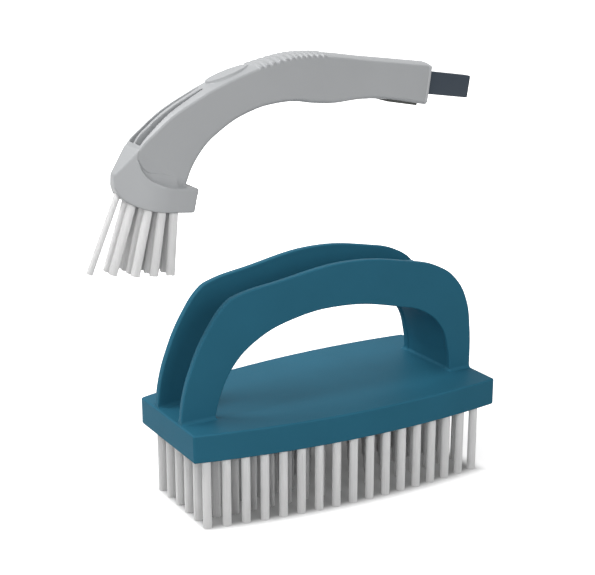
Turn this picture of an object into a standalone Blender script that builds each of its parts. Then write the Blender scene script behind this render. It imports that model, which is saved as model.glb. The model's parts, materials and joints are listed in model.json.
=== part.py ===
"""A two-in-one hand brush: a scrub brush with an open two-plate handle, and a detail brush that nests in it.

Metres, +Z up, standing on z = 0. The origin lies on the floor under the middle of the whole object's box.
The scrub brush runs along X, with its narrow end at -X. The detail brush is lifted straight up out of the
handle, and its own frame has u along the arm, y across and w up, tilted as it lies in the handle.
"""

import math

import bmesh
import bpy
from mathutils import Matrix, Vector

MM = 0.001

# Scrub block: a flat board, narrow at one end, with bowed long sides
BLOCK_LENGTH = 160.0 * MM
BLOCK_NARROW_WIDTH = 55.3 * MM
BLOCK_WIDE_WIDTH = 78.9 * MM
BLOCK_BOW = 8.1 * MM
BLOCK_THICKNESS = 13.5 * MM
BLOCK_EDGE_ROUND = 0.8 * MM
BLOCK_SIDE_STEPS = 16

# Scrub tufts: rows along the block that follow its bowed sides
SCRUB_TUFT_REACH = 34.9 * MM
SCRUB_TUFT_RADIUS = 2.1 * MM
SCRUB_ROWS = 6
SCRUB_COLUMNS = 17
SCRUB_SIDE_MARGIN = 6.4 * MM
SCRUB_END_MARGIN = 8.2 * MM
SCRUB_SOCKET_DEPTH = 7.5 * MM

# Handle: two upright plates that spread towards the wide end, one moulding with the block
PLATE_THICKNESS = 3.4 * MM
CHANNEL_NARROW_WIDTH = 21.0 * MM
CHANNEL_WIDE_WIDTH = 34.0 * MM
PLATE_EDGE_ROUND = 0.6 * MM
FOOT_SINK = 2.0 * MM
FOOT_INSET = 0.4 * MM
CREST_HEIGHT = 65.0 * MM
OPENING_HEIGHT = 43.8 * MM
NARROW_LEG_WIDTH = 17.2 * MM
WIDE_LEG_WIDTH = 12.0 * MM
CREST_PLACE = 8.0 * MM
OPENING_TOP_PLACE = 5.0 * MM

# The plates' side view: how far in from the leg's foot in millimetres, and the share of the full height there
NARROW_EDGE = [(2, 0.19), (6, 0.39), (15, 0.665), (25, 0.845), (29, 0.873), (50, 0.93)]
WIDE_EDGE = [(0.6, 0.33), (3.3, 0.56), (9.5, 0.73), (19, 0.845), (39, 0.936)]
NARROW_OPENING = [(2.3, 0.18), (10, 0.54), (22, 0.78), (40, 0.94)]
WIDE_OPENING = [(1.2, 0.23), (6, 0.55), (16.5, 0.77), (32, 0.885)]

# Web that closes the wide leg between the plates, and the cradle that takes the tongue
WEB_THICKNESS = 3.0 * MM
WEB_RECESS = 0.6 * MM
WEB_TOP_STATION = 3.1
WEB_STEPS = 8
PLATE_BITE = 0.6 * MM
CRADLE_LENGTH = 11.0 * MM
CRADLE_TIP_SETBACK = 4.0 * MM
CRADLE_FLOOR = 3.0 * MM
CRADLE_LIP = 1.5 * MM
CRADLE_CLEARANCE = 0.4 * MM

# Detail brush arm
ARM_HALF_WIDTH = 7.5 * MM
CUFF_HALF_WIDTH = 8.6 * MM
ARM_CROWN = 1.2 * MM
ARM_TOP_ROUND = 0.8 * MM
ARM_TOP_TURN_DEGREES = 80
ARM_BELLY_ROUND = 2.2 * MM
CROWN_PLACES = (0.6, 0.25)
CAP_THICKNESS = 1.6 * MM
GROOVE_WIDE = 4.8 * MM
GROOVE_NARROW = 0.9 * MM
GROOVE_DEPTH = 2.6 * MM
GROOVE_SPACING = 6.4 * MM
GROOVE_END_SPACING = 4.2 * MM
GROOVE_STATIONS = (1.45, 4.45)
GROOVE_STEPS = 12
THUMB_PAD_STATION = 5.95
THUMB_PAD_LENGTH = 24.0 * MM
THUMB_PAD_WIDTH = 9.6 * MM
THUMB_PAD_PROUD = 0.3 * MM
THUMB_PAD_ROOT = 2.5 * MM
THUMB_PAD_TILT = math.radians(3.5)
RIB_COUNT = 12
RIB_STATIONS = (7.55, 10.05)
RIB_WIDTH = 1.4 * MM
RIB_HEIGHT = 0.5 * MM
RIB_SIDE_PROUD = 0.2 * MM
RIB_SIDE_DROP = 1.2 * MM

# Detail brush shoe, tongue and latch
SHOE_HALF_WIDTH = 12.6 * MM
SHOE_NOSE_HALF_WIDTH = 2.4 * MM
SHOE_SHOULDER_STEP = 0.3 * MM
SHOE_FULL_WIDTH_U = -16.0 * MM
SHOE_EDGE_ROUND = 0.6 * MM
TONGUE_REACH = 28.0 * MM
TONGUE_ROOT = 12.0 * MM
TONGUE_HEIGHT = 10.8 * MM
TONGUE_THICKNESS = 5.2 * MM
TONGUE_AXIS_HEIGHT = 46.6 * MM
TONGUE_SLOPE = math.radians(3.8)
TONGUE_EDGE_ROUND = 0.5 * MM
PAD_LENGTH = 17.5 * MM
PAD_WIDTH = 12.5 * MM
PAD_PROUD = 1.0 * MM
PAD_SUNK = 1.2 * MM
PAD_TRAVEL = 0.8 * MM
PAD_END_WALL = 1.2 * MM
PAD_EDGE_ROUND = 0.4 * MM
LEAF_THICKNESS = 0.3 * MM
LEAF_WIDTH = 5.0 * MM
LEAF_LENGTH = 14.0 * MM
LEAF_STEPS = 8

# Detail tufts: columns across the shoe, leaning forward at the nose, trimmed to one level
DETAIL_TUFT_RADIUS = 2.0 * MM
DETAIL_NOSE_TUFT_RADIUS = 1.5 * MM
DETAIL_TRIM_DEPTH = 38.4 * MM
DETAIL_SOCKET_DEPTH = 6.2 * MM
DETAIL_NOSE_LEAN = math.radians(18.5)
DETAIL_COLUMN_COUNTS = (1, 2, 4, 4, 4)
DETAIL_NOSE_COLUMN = -35.9 * MM
DETAIL_HEEL_COLUMN = -13.0 * MM
DETAIL_ROW_MARGIN = 3.2 * MM
DETAIL_ROW_PITCH = 6.0 * MM

# How the detail brush lies in the handle, and how far it is lifted out
DOCK_TILT = math.radians(5.0)
DOCK_END_GAP = 1.3 * MM
DOCK_RISE = 13.1 * MM
DOCK_WIDE_END_INSET = 8.0 * MM
LIFT = 95.0 * MM
LIFT_LEAN = DOCK_TILT + TONGUE_SLOPE

# Fits
SEAT_GAP = 0.3 * MM
SOCKET_CLEARANCE = 0.3 * MM
PAD_CLEARANCE = 0.35 * MM
ANCHOR_THICKNESS = 0.6 * MM
ANCHOR_DEPTH = 0.8 * MM
ANCHOR_STRIP_HEIGHT = 2.0 * MM
ANCHOR_STRIP_SINK = 0.5 * MM

# Cutters run past the faces that they open by this much
CUT_OVERRUN = 3.0 * MM

TUFT_SIDES = 6
CURVE_STEPS = 4
SHOE_PLAN_STEPS = 12
THUMB_PAD_SIDES = 32
CORNER = "VECTOR"
ROUND = "AUTO"

# The arm's side view as matching points on its top ridge and its belly, from the shoe to the cuff's end
ARM_RIDGE = [(-31.7, 9.0), (-29.3, 17.5), (-23.1, 24.4), (-14.6, 31.8), (-3.8, 38.6), (5.5, 43.8),
             (17.0, 49.0), (27.0, 52.7), (41.3, 56.7), (53.4, 58.2), (67.2, 58.0), (81.1, 57.1),
             (95.5, 56.4), (119.1, 55.2)]
ARM_BELLY = [(-7.7, -3.6), (-5.9, 2.1), (-3.1, 9.8), (1.9, 17.7), (7.7, 23.3), (16.2, 29.4),
             (25.0, 33.5), (32.6, 35.9), (44.9, 37.6), (55.7, 36.9), (67.2, 36.9), (81.1, 38.7),
             (95.5, 38.9), (118.1, 36.6)]
CUFF_STATION = 12
ARM_STEPS = 2

# The shoe's side view, from the nose over the shoulder to the heel and back along the sole
NOSE_TOP = (-38.7, 5.3)
SHOULDER_TOP = (-29.9, 17.2)
SHOE_SHOULDER = [(-30.2, 12.3), (-28.4, 8.0), (-26.1, 5.1), (-23.0, 3.2), (-18.0, 1.6), (-12.7, 0.8)]
HEEL_TOP = (-2.9, 0.6)
HEEL_BOTTOM = (-4.4, -10.2)
SHOE_SOLE = [(-12.7, -10.0), (-18.1, -9.8), (-23.3, -9.3), (-28.3, -8.2), (-32.9, -6.3), (-36.3, -3.7)]
NOSE_BOTTOM = (-38.5, 0.2)


def block_half_width(x):
    """Half the block's width at x: a straight taper plus a bow that fades out at both ends."""
    along = x / (BLOCK_LENGTH / 2)
    taper = (BLOCK_NARROW_WIDTH * (1 - along) + BLOCK_WIDE_WIDTH * (1 + along)) / 4
    return taper + BLOCK_BOW * (1 - along * along)


BLOCK_TOP = SCRUB_TUFT_REACH + BLOCK_THICKNESS
DOCK_HEIGHT = BLOCK_TOP + DOCK_RISE
HEEL_U = HEEL_TOP[0] * MM
DOCK_X = -BLOCK_LENGTH / 2 - DOCK_END_GAP - HEEL_U * math.cos(DOCK_TILT)
LIFT_X = LIFT * math.sin(LIFT_LEAN)
LIFT_Z = LIFT * math.cos(LIFT_LEAN)

# The arm is as long as puts the nested tongue's tip its inset inside the block's wide end
TONGUE_TIP_HEIGHT = TONGUE_AXIS_HEIGHT - TONGUE_REACH * math.tan(TONGUE_SLOPE)
TONGUE_TIP_X = BLOCK_LENGTH / 2 - DOCK_WIDE_END_INSET
TONGUE_TIP_U = (TONGUE_TIP_X - DOCK_X - TONGUE_TIP_HEIGHT * math.sin(DOCK_TILT)) / math.cos(DOCK_TILT)
ARM_END = TONGUE_TIP_U - TONGUE_REACH


def to_dock(u, w):
    """Where a point of the detail brush lies beside the scrub brush when it is nested, as x and z."""
    x = DOCK_X + u * math.cos(DOCK_TILT) + w * math.sin(DOCK_TILT)
    z = DOCK_HEIGHT - u * math.sin(DOCK_TILT) + w * math.cos(DOCK_TILT)
    return x, z


def catmull_rom(points, t):
    """A smooth curve through the points, with t counting them from 0."""
    index = min(int(t), len(points) - 2)
    local = t - index
    p1 = Vector(points[index])
    p2 = Vector(points[index + 1])
    p0 = Vector(points[index - 1]) if index > 0 else 2 * p1 - p2
    p3 = Vector(points[index + 2]) if index + 2 < len(points) else 2 * p2 - p1
    return 0.5 * (2 * p1 + (p2 - p0) * local + (2 * p0 - 5 * p1 + 4 * p2 - p3) * local ** 2
                  + (3 * p1 - p0 - 3 * p2 + p3) * local ** 3)


def arm_line(points):
    """The arm's drawn points in metres, with those past the shoe moved so that the arm ends at ARM_END."""
    stretch = ARM_END / (ARM_RIDGE[-1][0] * MM)
    return [(u * MM * (stretch if u > 0 else 1), w * MM) for u, w in points]


def clear_scene():
    for item in list(bpy.data.objects):
        bpy.data.objects.remove(item, do_unlink=True)


def new_collection(name):
    collection = bpy.data.collections.new(name)
    bpy.context.scene.collection.children.link(collection)
    return collection


def srgb_to_linear(hex_code):
    channels = [int(hex_code[i:i + 2], 16) / 255 for i in (0, 2, 4)]
    return [c / 12.92 if c <= 0.04045 else ((c + 0.055) / 1.055) ** 2.4 for c in channels]


def make_material(name, hex_code, roughness, metallic=0.0):
    material = bpy.data.materials.new(name)
    material.use_nodes = True
    shader = material.node_tree.nodes["Principled BSDF"]
    shader.inputs["Base Color"].default_value = (*srgb_to_linear(hex_code), 1.0)
    shader.inputs["Roughness"].default_value = roughness
    shader.inputs["Metallic"].default_value = metallic
    return material


def add_object(name, mesh, collection, parent=None, material=None):
    item = bpy.data.objects.new(name, mesh)
    collection.objects.link(item)
    item.parent = parent
    if material:
        mesh.materials.clear()
        mesh.materials.append(material)
    return item


def mark_cutter(item):
    item.display_type = "WIRE"
    item.hide_render = True
    return item


def mesh_from_bmesh(name, solid, smooth_angle=math.radians(35)):
    mesh = bpy.data.meshes.new(name)
    bmesh.ops.recalc_face_normals(solid, faces=solid.faces)
    solid.to_mesh(mesh)
    solid.free()
    mesh.shade_smooth()
    mesh.set_sharp_from_angle(angle=smooth_angle)
    return mesh


def outline_mesh(name, points, thickness):
    """A flat outline of (x, y, handle) points, filled and thickened evenly about its own plane."""
    curve = bpy.data.curves.new(name, "CURVE")
    curve.dimensions = "2D"
    curve.fill_mode = "BOTH"
    curve.extrude = thickness / 2
    curve.resolution_u = CURVE_STEPS
    spline = curve.splines.new("BEZIER")
    spline.bezier_points.add(len(points) - 1)
    for knot, (x, y, handle) in zip(spline.bezier_points, points):
        knot.co = (x, y, 0)
        knot.handle_left_type = handle
        knot.handle_right_type = handle
    spline.use_cyclic_u = True
    holder = bpy.data.objects.new(name + "_curve", curve)
    bpy.context.scene.collection.objects.link(holder)
    graph = bpy.context.evaluated_depsgraph_get()
    mesh = bpy.data.meshes.new_from_object(holder.evaluated_get(graph))
    bpy.data.objects.remove(holder, do_unlink=True)
    solid = bmesh.new()
    solid.from_mesh(mesh)
    bmesh.ops.remove_doubles(solid, verts=solid.verts, dist=0.01 * MM)
    bmesh.ops.dissolve_limit(solid, angle_limit=math.radians(0.2), verts=solid.verts, edges=solid.edges)
    bpy.data.meshes.remove(mesh)
    return mesh_from_bmesh(name, solid)


def loft_mesh(name, rings):
    """A closed body through rings of equal length, with a flat face at each end."""
    solid = bmesh.new()
    loops = [[solid.verts.new(point) for point in ring] for ring in rings]
    for near, far in zip(loops, loops[1:]):
        for i in range(len(near)):
            j = (i + 1) % len(near)
            solid.faces.new((near[i], near[j], far[j], far[i]))
    solid.faces.new(list(reversed(loops[0])))
    solid.faces.new(loops[-1])
    return mesh_from_bmesh(name, solid)


def cylinders_mesh(name, placements, radius, sides=TUFT_SIDES):
    """Separate cylinders in one mesh: each placement is its middle, its direction and its length."""
    solid = bmesh.new()
    for middle, direction, length in placements:
        turn = Vector((0, 0, 1)).rotation_difference(direction).to_matrix().to_4x4()
        bmesh.ops.create_cone(solid, cap_ends=True, segments=sides, radius1=radius, radius2=radius,
                              depth=length, matrix=Matrix.Translation(middle) @ turn)
    return mesh_from_bmesh(name, solid)


def box_mesh(name, middle, direction, size):
    """A box about its middle, with its own z along the direction."""
    solid = bmesh.new()
    turn = Vector((0, 0, 1)).rotation_difference(direction).to_matrix().to_4x4()
    place = Matrix.Translation(middle) @ turn @ Matrix.Diagonal((*size, 1))
    bmesh.ops.create_cube(solid, size=1, matrix=place)
    return mesh_from_bmesh(name, solid)


def add_bevel(item, width, segments=2, angle=math.radians(40)):
    bevel = item.modifiers.new("rounded edges", "BEVEL")
    bevel.width = width
    bevel.segments = segments
    bevel.limit_method = "ANGLE"
    bevel.angle_limit = angle


def add_boolean(item, other, operation):
    step = item.modifiers.new(operation.lower() + " " + other.name, "BOOLEAN")
    step.operation = operation
    step.solver = "EXACT"
    step.object = other


# Scrub brush

def block_outline():
    xs = [BLOCK_LENGTH * (i / BLOCK_SIDE_STEPS - 0.5) for i in range(BLOCK_SIDE_STEPS + 1)]
    near = [(x, -block_half_width(x), CORNER) for x in xs]
    far = [(x, block_half_width(x), CORNER) for x in reversed(xs)]
    return near + far


def plate_outline():
    """The handle plate's side view above the block's top, from the narrow foot over the crest and back."""
    end = BLOCK_LENGTH / 2 - FOOT_INSET
    outer = [(-end, -FOOT_SINK, CORNER)]
    outer += [(-end + inward * MM, share * CREST_HEIGHT, ROUND) for inward, share in NARROW_EDGE]
    outer += [(CREST_PLACE, CREST_HEIGHT, ROUND)]
    outer += [(end - inward * MM, share * CREST_HEIGHT, ROUND) for inward, share in reversed(WIDE_EDGE)]
    outer += [(end, -FOOT_SINK, CORNER)]
    return outer + opening_outline()


def opening_outline():
    """The hand opening's edge, from the wide leg's foot over to the narrow leg's foot."""
    narrow = -BLOCK_LENGTH / 2 + FOOT_INSET + NARROW_LEG_WIDTH
    foot, *rest = wide_leg_edge()
    edge = [(*foot, CORNER)] + [(x, z, ROUND) for x, z in rest]
    edge += [(OPENING_TOP_PLACE, OPENING_HEIGHT, ROUND)]
    far_side = reversed(NARROW_OPENING)
    edge += [(narrow + inward * MM, share * OPENING_HEIGHT, ROUND) for inward, share in far_side]
    return edge + [(narrow, -FOOT_SINK, CORNER)]


def wide_leg_edge():
    """The opening's edge on the wide leg, from its foot up to the grip's underside."""
    foot = BLOCK_LENGTH / 2 - FOOT_INSET - WIDE_LEG_WIDTH
    rest = [(foot - inward * MM, share * OPENING_HEIGHT) for inward, share in WIDE_OPENING]
    return [(foot, -FOOT_SINK)] + rest


def web_outline():
    """A strip just behind the wide leg's edge, as thick as the web."""
    edge = [catmull_rom(wide_leg_edge(), WEB_TOP_STATION * i / WEB_STEPS) for i in range(WEB_STEPS + 1)]
    near = []
    far = []
    for i, point in enumerate(edge):
        run = (edge[min(i + 1, len(edge) - 1)] - edge[max(i - 1, 0)]).normalized()
        outward = Vector((run.y, -run.x))
        near.append(point + outward * WEB_RECESS)
        far.append(point + outward * (WEB_RECESS + WEB_THICKNESS))
    return [(p.x, p.y, CORNER) for p in near + far[::-1]]


def tongue_line(u):
    """The height of the tongue's middle line in the detail brush's frame."""
    return TONGUE_AXIS_HEIGHT - (u - ARM_END) * math.tan(TONGUE_SLOPE)


def docked_tongue_band(x_from, x_to, below, above):
    """The nested tongue's side view between two x, grown down and up, relative to the block's top."""
    slope = -math.tan(DOCK_TILT + TONGUE_SLOPE)
    tip_x, tip_z = to_dock(TONGUE_TIP_U, TONGUE_TIP_HEIGHT)
    middle = [(x, tip_z + (x - tip_x) * slope - BLOCK_TOP) for x in (x_from, x_to)]
    low = [(x, z - TONGUE_HEIGHT / 2 - below, CORNER) for x, z in middle]
    high = [(x, z + TONGUE_HEIGHT / 2 + above, CORNER) for x, z in reversed(middle)]
    return low + high


def channel_half_width(x):
    along = x / BLOCK_LENGTH + 0.5
    return (CHANNEL_NARROW_WIDTH * (1 - along) + CHANNEL_WIDE_WIDTH * along) / 2


def side_view_object(name, outline, thickness, collection, parent):
    """An outline drawn in x and z above the block's top, with its thickness across."""
    item = add_object(name, outline_mesh(name, outline, thickness), collection, parent)
    item.location.z = BLOCK_TOP
    item.rotation_euler.x = math.pi / 2
    return item


def scrub_tuft_grid():
    """Tuft centres, row by row: each row keeps its share of the block's width along the whole length."""
    rows = []
    reach = BLOCK_LENGTH / 2 - SCRUB_END_MARGIN
    for row in range(SCRUB_ROWS):
        share = 2 * row / (SCRUB_ROWS - 1) - 1
        xs = [-reach + 2 * reach * i / (SCRUB_COLUMNS - 1) for i in range(SCRUB_COLUMNS)]
        rows.append([(x, share * (block_half_width(x) - SCRUB_SIDE_MARGIN)) for x in xs])
    return rows


def build_scrub_body(parts, cutters, root, material):
    block = outline_mesh("scrub_body", block_outline(), BLOCK_THICKNESS)
    body = add_object("scrub_body", block, parts, root, material)
    body.location.z = BLOCK_TOP - BLOCK_THICKNESS / 2
    add_bevel(body, BLOCK_EDGE_ROUND)

    spread = math.atan((CHANNEL_WIDE_WIDTH - CHANNEL_NARROW_WIDTH) / 2 / BLOCK_LENGTH)
    for side, label in ((-1, "near"), (1, "far")):
        plate = side_view_object("plate_" + label, plate_outline(), PLATE_THICKNESS, cutters, root)
        plate.location.y = side * (channel_half_width(0) + PLATE_THICKNESS / 2)
        plate.rotation_euler.z = side * spread
        add_bevel(plate, PLATE_EDGE_ROUND)
        add_boolean(body, mark_cutter(plate), "UNION")

    bridge = CHANNEL_WIDE_WIDTH + 2 * PLATE_BITE
    web = side_view_object("leg_web", web_outline(), bridge, cutters, root)
    add_boolean(body, mark_cutter(web), "UNION")

    cradle_end = TONGUE_TIP_X - CRADLE_TIP_SETBACK
    band = docked_tongue_band(cradle_end - CRADLE_LENGTH, cradle_end, CRADLE_CLEARANCE + CRADLE_FLOOR,
                              -CRADLE_LIP)
    cradle = side_view_object("tongue_cradle", band, bridge, cutters, root)
    add_boolean(body, mark_cutter(cradle), "UNION")
    notch = docked_tongue_band(cradle_end - 2 * CRADLE_LENGTH, cradle_end + CRADLE_LENGTH, CRADLE_CLEARANCE,
                               TONGUE_HEIGHT)
    slot = side_view_object("cradle_slot", notch, TONGUE_THICKNESS + 2 * CRADLE_CLEARANCE, cutters, root)
    add_boolean(body, mark_cutter(slot), "DIFFERENCE")

    up = Vector((0, 0, 1))
    floor = BLOCK_TOP - BLOCK_THICKNESS
    middle = floor + (SCRUB_SOCKET_DEPTH - CUT_OVERRUN) / 2
    tall = SCRUB_SOCKET_DEPTH + CUT_OVERRUN
    holes = [((x, y, middle), up, tall) for row in scrub_tuft_grid() for x, y in row]
    mesh = cylinders_mesh("scrub_sockets", holes, SCRUB_TUFT_RADIUS + SOCKET_CLEARANCE)
    add_boolean(body, mark_cutter(add_object("scrub_sockets", mesh, cutters, root)), "DIFFERENCE")
    for row in scrub_tuft_grid():
        outline = strip_outline(row, ANCHOR_THICKNESS + 2 * SOCKET_CLEARANCE, SOCKET_CLEARANCE)
        slit = add_object("anchor_slit", outline_mesh("anchor_slit", outline, tall), cutters, root)
        slit.location.z = middle
        add_boolean(body, mark_cutter(slit), "DIFFERENCE")
    return body


def strip_outline(row, thickness, overrun):
    """A thin band along a row of tuft centres, a little longer than the row at both ends."""
    path = [Vector(point) for point in row]
    path[0] = path[0] - (path[1] - path[0]).normalized() * overrun
    path[-1] = path[-1] + (path[-1] - path[-2]).normalized() * overrun
    near = []
    far = []
    for i, point in enumerate(path):
        run = (path[min(i + 1, len(path) - 1)] - path[max(i - 1, 0)]).normalized()
        side = Vector((run.y, -run.x)) * thickness / 2
        near.append((*(point + side), CORNER))
        far.append((*(point - side), CORNER))
    return near + far[::-1]


def build_scrub_tufts(parts, cutters, root, material):
    """Each row is one body: its tufts, and the thin anchor strip that holds their heads in the block."""
    up = Vector((0, 0, 1))
    top = BLOCK_TOP - BLOCK_THICKNESS + SCRUB_SOCKET_DEPTH - SEAT_GAP
    for number, row in enumerate(scrub_tuft_grid(), start=1):
        name = "scrub_tufts_row_%d" % number
        strip = outline_mesh(name, strip_outline(row, ANCHOR_THICKNESS, 0), ANCHOR_STRIP_HEIGHT)
        item = add_object(name, strip, parts, root, material)
        item.location.z = top - ANCHOR_STRIP_HEIGHT / 2 - ANCHOR_STRIP_SINK
        tufts = cylinders_mesh("tufts", [((x, y, top / 2), up, top) for x, y in row], SCRUB_TUFT_RADIUS)
        add_boolean(item, mark_cutter(add_object("tufts", tufts, cutters, root)), "UNION")


# Detail brush

def arm_station(t):
    """The arm's cross plane at station t: belly point, unit direction to the ridge, height and half width."""
    ridge = catmull_rom(arm_line(ARM_RIDGE), t)
    belly = catmull_rom(arm_line(ARM_BELLY), t)
    rise = ridge - belly
    flare = min(max((t - CUFF_STATION + 1) / 2, 0), 1)
    flare = flare * flare * (3 - 2 * flare)
    half = ARM_HALF_WIDTH + (CUFF_HALF_WIDTH - ARM_HALF_WIDTH) * flare
    return belly, rise.normalized(), rise.length, half


def section_point(t, across, height):
    """A point of the cross plane at station t, in the detail brush's frame."""
    belly, rise, _, _ = arm_station(t)
    spot = belly + rise * height
    return Vector((spot.x, across, spot.y))


def arc(centre_y, centre_h, radius, start, stop, steps):
    angles = [math.radians(start + (stop - start) * i / steps) for i in range(steps + 1)]
    return [(centre_y + radius * math.cos(a), centre_h + radius * math.sin(a)) for a in angles]


def arm_ring(t):
    """The arm's section: rounded belly corners, tight ridge corners and a crowned top."""
    _, _, height, half = arm_station(t)
    low = ARM_BELLY_ROUND
    high = ARM_TOP_ROUND
    right = arc(half - low, low, low, -90, 0, 3)
    right += arc(half - high, height - high, high, 0, ARM_TOP_TURN_DEGREES, 2)
    span = half - high
    crown = [(place * span, height + ARM_CROWN * (1 - place ** 2)) for place in CROWN_PLACES]
    profile = right + crown
    profile += [(-y, h) for y, h in reversed(profile)]
    return [section_point(t, y, h) for y, h in profile]


def arm_end_station(u):
    """The station whose ridge point reaches u, on the straight last span."""
    before = arm_line(ARM_RIDGE)[-2][0]
    return len(ARM_RIDGE) - 2 + (u - before) / (ARM_END - before)


def shoe_side_outline():
    points = [(*NOSE_TOP, CORNER), (*SHOULDER_TOP, CORNER)]
    points += [(*p, ROUND) for p in SHOE_SHOULDER]
    points += [(*HEEL_TOP, CORNER), (*HEEL_BOTTOM, CORNER)]
    points += [(*p, ROUND) for p in SHOE_SOLE]
    points += [(*NOSE_BOTTOM, CORNER)]
    return [(x * MM, z * MM, handle) for x, z, handle in points]


def shoe_half_width(u):
    """Half the shoe's width at u: flat facets from the nose to the arm, then a curve out to full width."""
    nose, shoulder = NOSE_TOP[0] * MM, SHOULDER_TOP[0] * MM
    facet_edge = ARM_HALF_WIDTH + SHOE_SHOULDER_STEP
    if u < shoulder:
        return facet_edge + (SHOE_NOSE_HALF_WIDTH - facet_edge) * (u - shoulder) / (nose - shoulder)
    along = min((u - shoulder) / (SHOE_FULL_WIDTH_U - shoulder), 1)
    return facet_edge + (SHOE_HALF_WIDTH - facet_edge) * (1 - (1 - along) ** 2)


def shoe_plan_outline():
    nose = NOSE_TOP[0] * MM - SHOE_EDGE_ROUND
    heel = HEEL_TOP[0] * MM + SHOE_EDGE_ROUND
    us = [nose + (heel - nose) * (i / SHOE_PLAN_STEPS) ** 1.5 for i in range(SHOE_PLAN_STEPS + 1)]
    near = [(u, -shoe_half_width(u), CORNER) for u in us]
    far = [(u, shoe_half_width(u), CORNER) for u in reversed(us)]
    return near + far


def sole_height(u):
    """The sole's height under u, read from its side view."""
    line = [NOSE_BOTTOM] + SHOE_SOLE[::-1] + [HEEL_BOTTOM]
    for (u0, w0), (u1, w1) in zip(line, line[1:]):
        if u0 * MM <= u <= u1 * MM:
            return (w0 + (w1 - w0) * (u / MM - u0) / (u1 - u0)) * MM
    raise ValueError("no sole at this place")


def detail_tuft_columns():
    """Root, direction and length of each tuft under the sole, column by column from the nose."""
    columns = []
    last = len(DETAIL_COLUMN_COUNTS) - 1
    for index, count in enumerate(DETAIL_COLUMN_COUNTS):
        u = DETAIL_NOSE_COLUMN + (DETAIL_HEEL_COLUMN - DETAIL_NOSE_COLUMN) * index / last
        lean = DETAIL_NOSE_LEAN * (1 - index / last)
        direction = Vector((-math.sin(lean), 0, -math.cos(lean)))
        half = min(shoe_half_width(u) - DETAIL_ROW_MARGIN, DETAIL_ROW_PITCH * (count - 1) / 2)
        w = sole_height(u)
        length = (w + DETAIL_TRIM_DEPTH) / math.cos(lean)
        ys = [half * (2 * k / (count - 1) - 1) for k in range(count)] if count > 1 else [0.0]
        columns.append([(Vector((u, y, w)), direction, length) for y in ys])
    return columns


def detail_tuft_radius(column_number):
    """The nose's own tuft is thinner than the rest."""
    return DETAIL_NOSE_TUFT_RADIUS if column_number == 1 else DETAIL_TUFT_RADIUS


def thumb_pad_mesh():
    """An oval platform on the arm's top. It stands proud towards the shoe and runs out flush behind."""
    top = arm_station(THUMB_PAD_STATION)[2]
    spot = section_point(THUMB_PAD_STATION, 0, top + ARM_CROWN)
    before, after = [section_point(THUMB_PAD_STATION + step, 0, top) for step in (-0.5, 0.5)]
    run = after - before
    turn = Matrix.Rotation(THUMB_PAD_TILT - math.atan2(run.z, run.x), 4, "Y")
    sink = Matrix.Translation((0, 0, (THUMB_PAD_PROUD - THUMB_PAD_ROOT) / 2))
    thickness = THUMB_PAD_PROUD + THUMB_PAD_ROOT
    stretch = Matrix.Diagonal((THUMB_PAD_LENGTH / 2, THUMB_PAD_WIDTH / 2, thickness, 1))
    solid = bmesh.new()
    bmesh.ops.create_cone(solid, cap_ends=True, segments=THUMB_PAD_SIDES, radius1=1, radius2=1, depth=1,
                          matrix=Matrix.Translation(spot) @ turn @ sink @ stretch)
    return mesh_from_bmesh("thumb_pad", solid)


def groove_cutter(side):
    """One of the two channels in the arm's top, which narrow and draw together away from the shoe."""
    rings = []
    first, last = GROOVE_STATIONS
    for i in range(GROOVE_STEPS + 1):
        along = i / GROOVE_STEPS
        t = first + (last - first) * along
        height = arm_station(t)[2]
        half = (GROOVE_WIDE + (GROOVE_NARROW - GROOVE_WIDE) * along) / 2
        middle = side * (GROOVE_SPACING + (GROOVE_END_SPACING - GROOVE_SPACING) * along) / 2
        low, high = height - GROOVE_DEPTH, height + CUT_OVERRUN
        corners = [(middle - half, low), (middle + half, low), (middle + half, high), (middle - half, high)]
        rings.append([section_point(t, y, h) for y, h in corners])
    return loft_mesh("groove", rings)


def rib_mesh():
    """Low bars over the arm's top, behind the thumb pad, in one mesh of separate bodies."""
    solid = bmesh.new()
    for i in range(RIB_COUNT):
        t = RIB_STATIONS[0] + (RIB_STATIONS[1] - RIB_STATIONS[0]) * i / (RIB_COUNT - 1)
        _, _, height, half = arm_station(t)
        run = (section_point(t + 0.05, 0, height) - section_point(t - 0.05, 0, height)).length / 0.1
        step = RIB_WIDTH / 2 / run
        span = half + RIB_SIDE_PROUD
        tops = [(y * span, height + ARM_CROWN * (1 - y * y) + RIB_HEIGHT) for y in (-1, -0.5, 0, 0.5, 1)]
        profile = tops + [(span, height - RIB_SIDE_DROP), (-span, height - RIB_SIDE_DROP)]
        loops = [[solid.verts.new(section_point(s, y, h)) for y, h in profile] for s in (t - step, t + step)]
        for k in range(len(profile)):
            n = (k + 1) % len(profile)
            solid.faces.new((loops[0][k], loops[0][n], loops[1][n], loops[1][k]))
        solid.faces.new(loops[0][::-1])
        solid.faces.new(loops[1])
    return mesh_from_bmesh("grip_ribs", solid)


def tongue_mesh(name, u_from, u_to, grow):
    """The tongue's bar between two u, grown evenly across its faces."""
    solid = bmesh.new()
    length = (u_to - u_from) / math.cos(TONGUE_SLOPE)
    stretch = Matrix.Diagonal((length, TONGUE_THICKNESS + 2 * grow, TONGUE_HEIGHT + 2 * grow, 1))
    middle = (u_from + u_to) / 2
    place = Matrix.Translation((middle, 0, tongue_line(middle))) @ Matrix.Rotation(TONGUE_SLOPE, 4, "Y")
    bmesh.ops.create_cube(solid, size=1, matrix=place @ stretch)
    return mesh_from_bmesh(name, solid)


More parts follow.
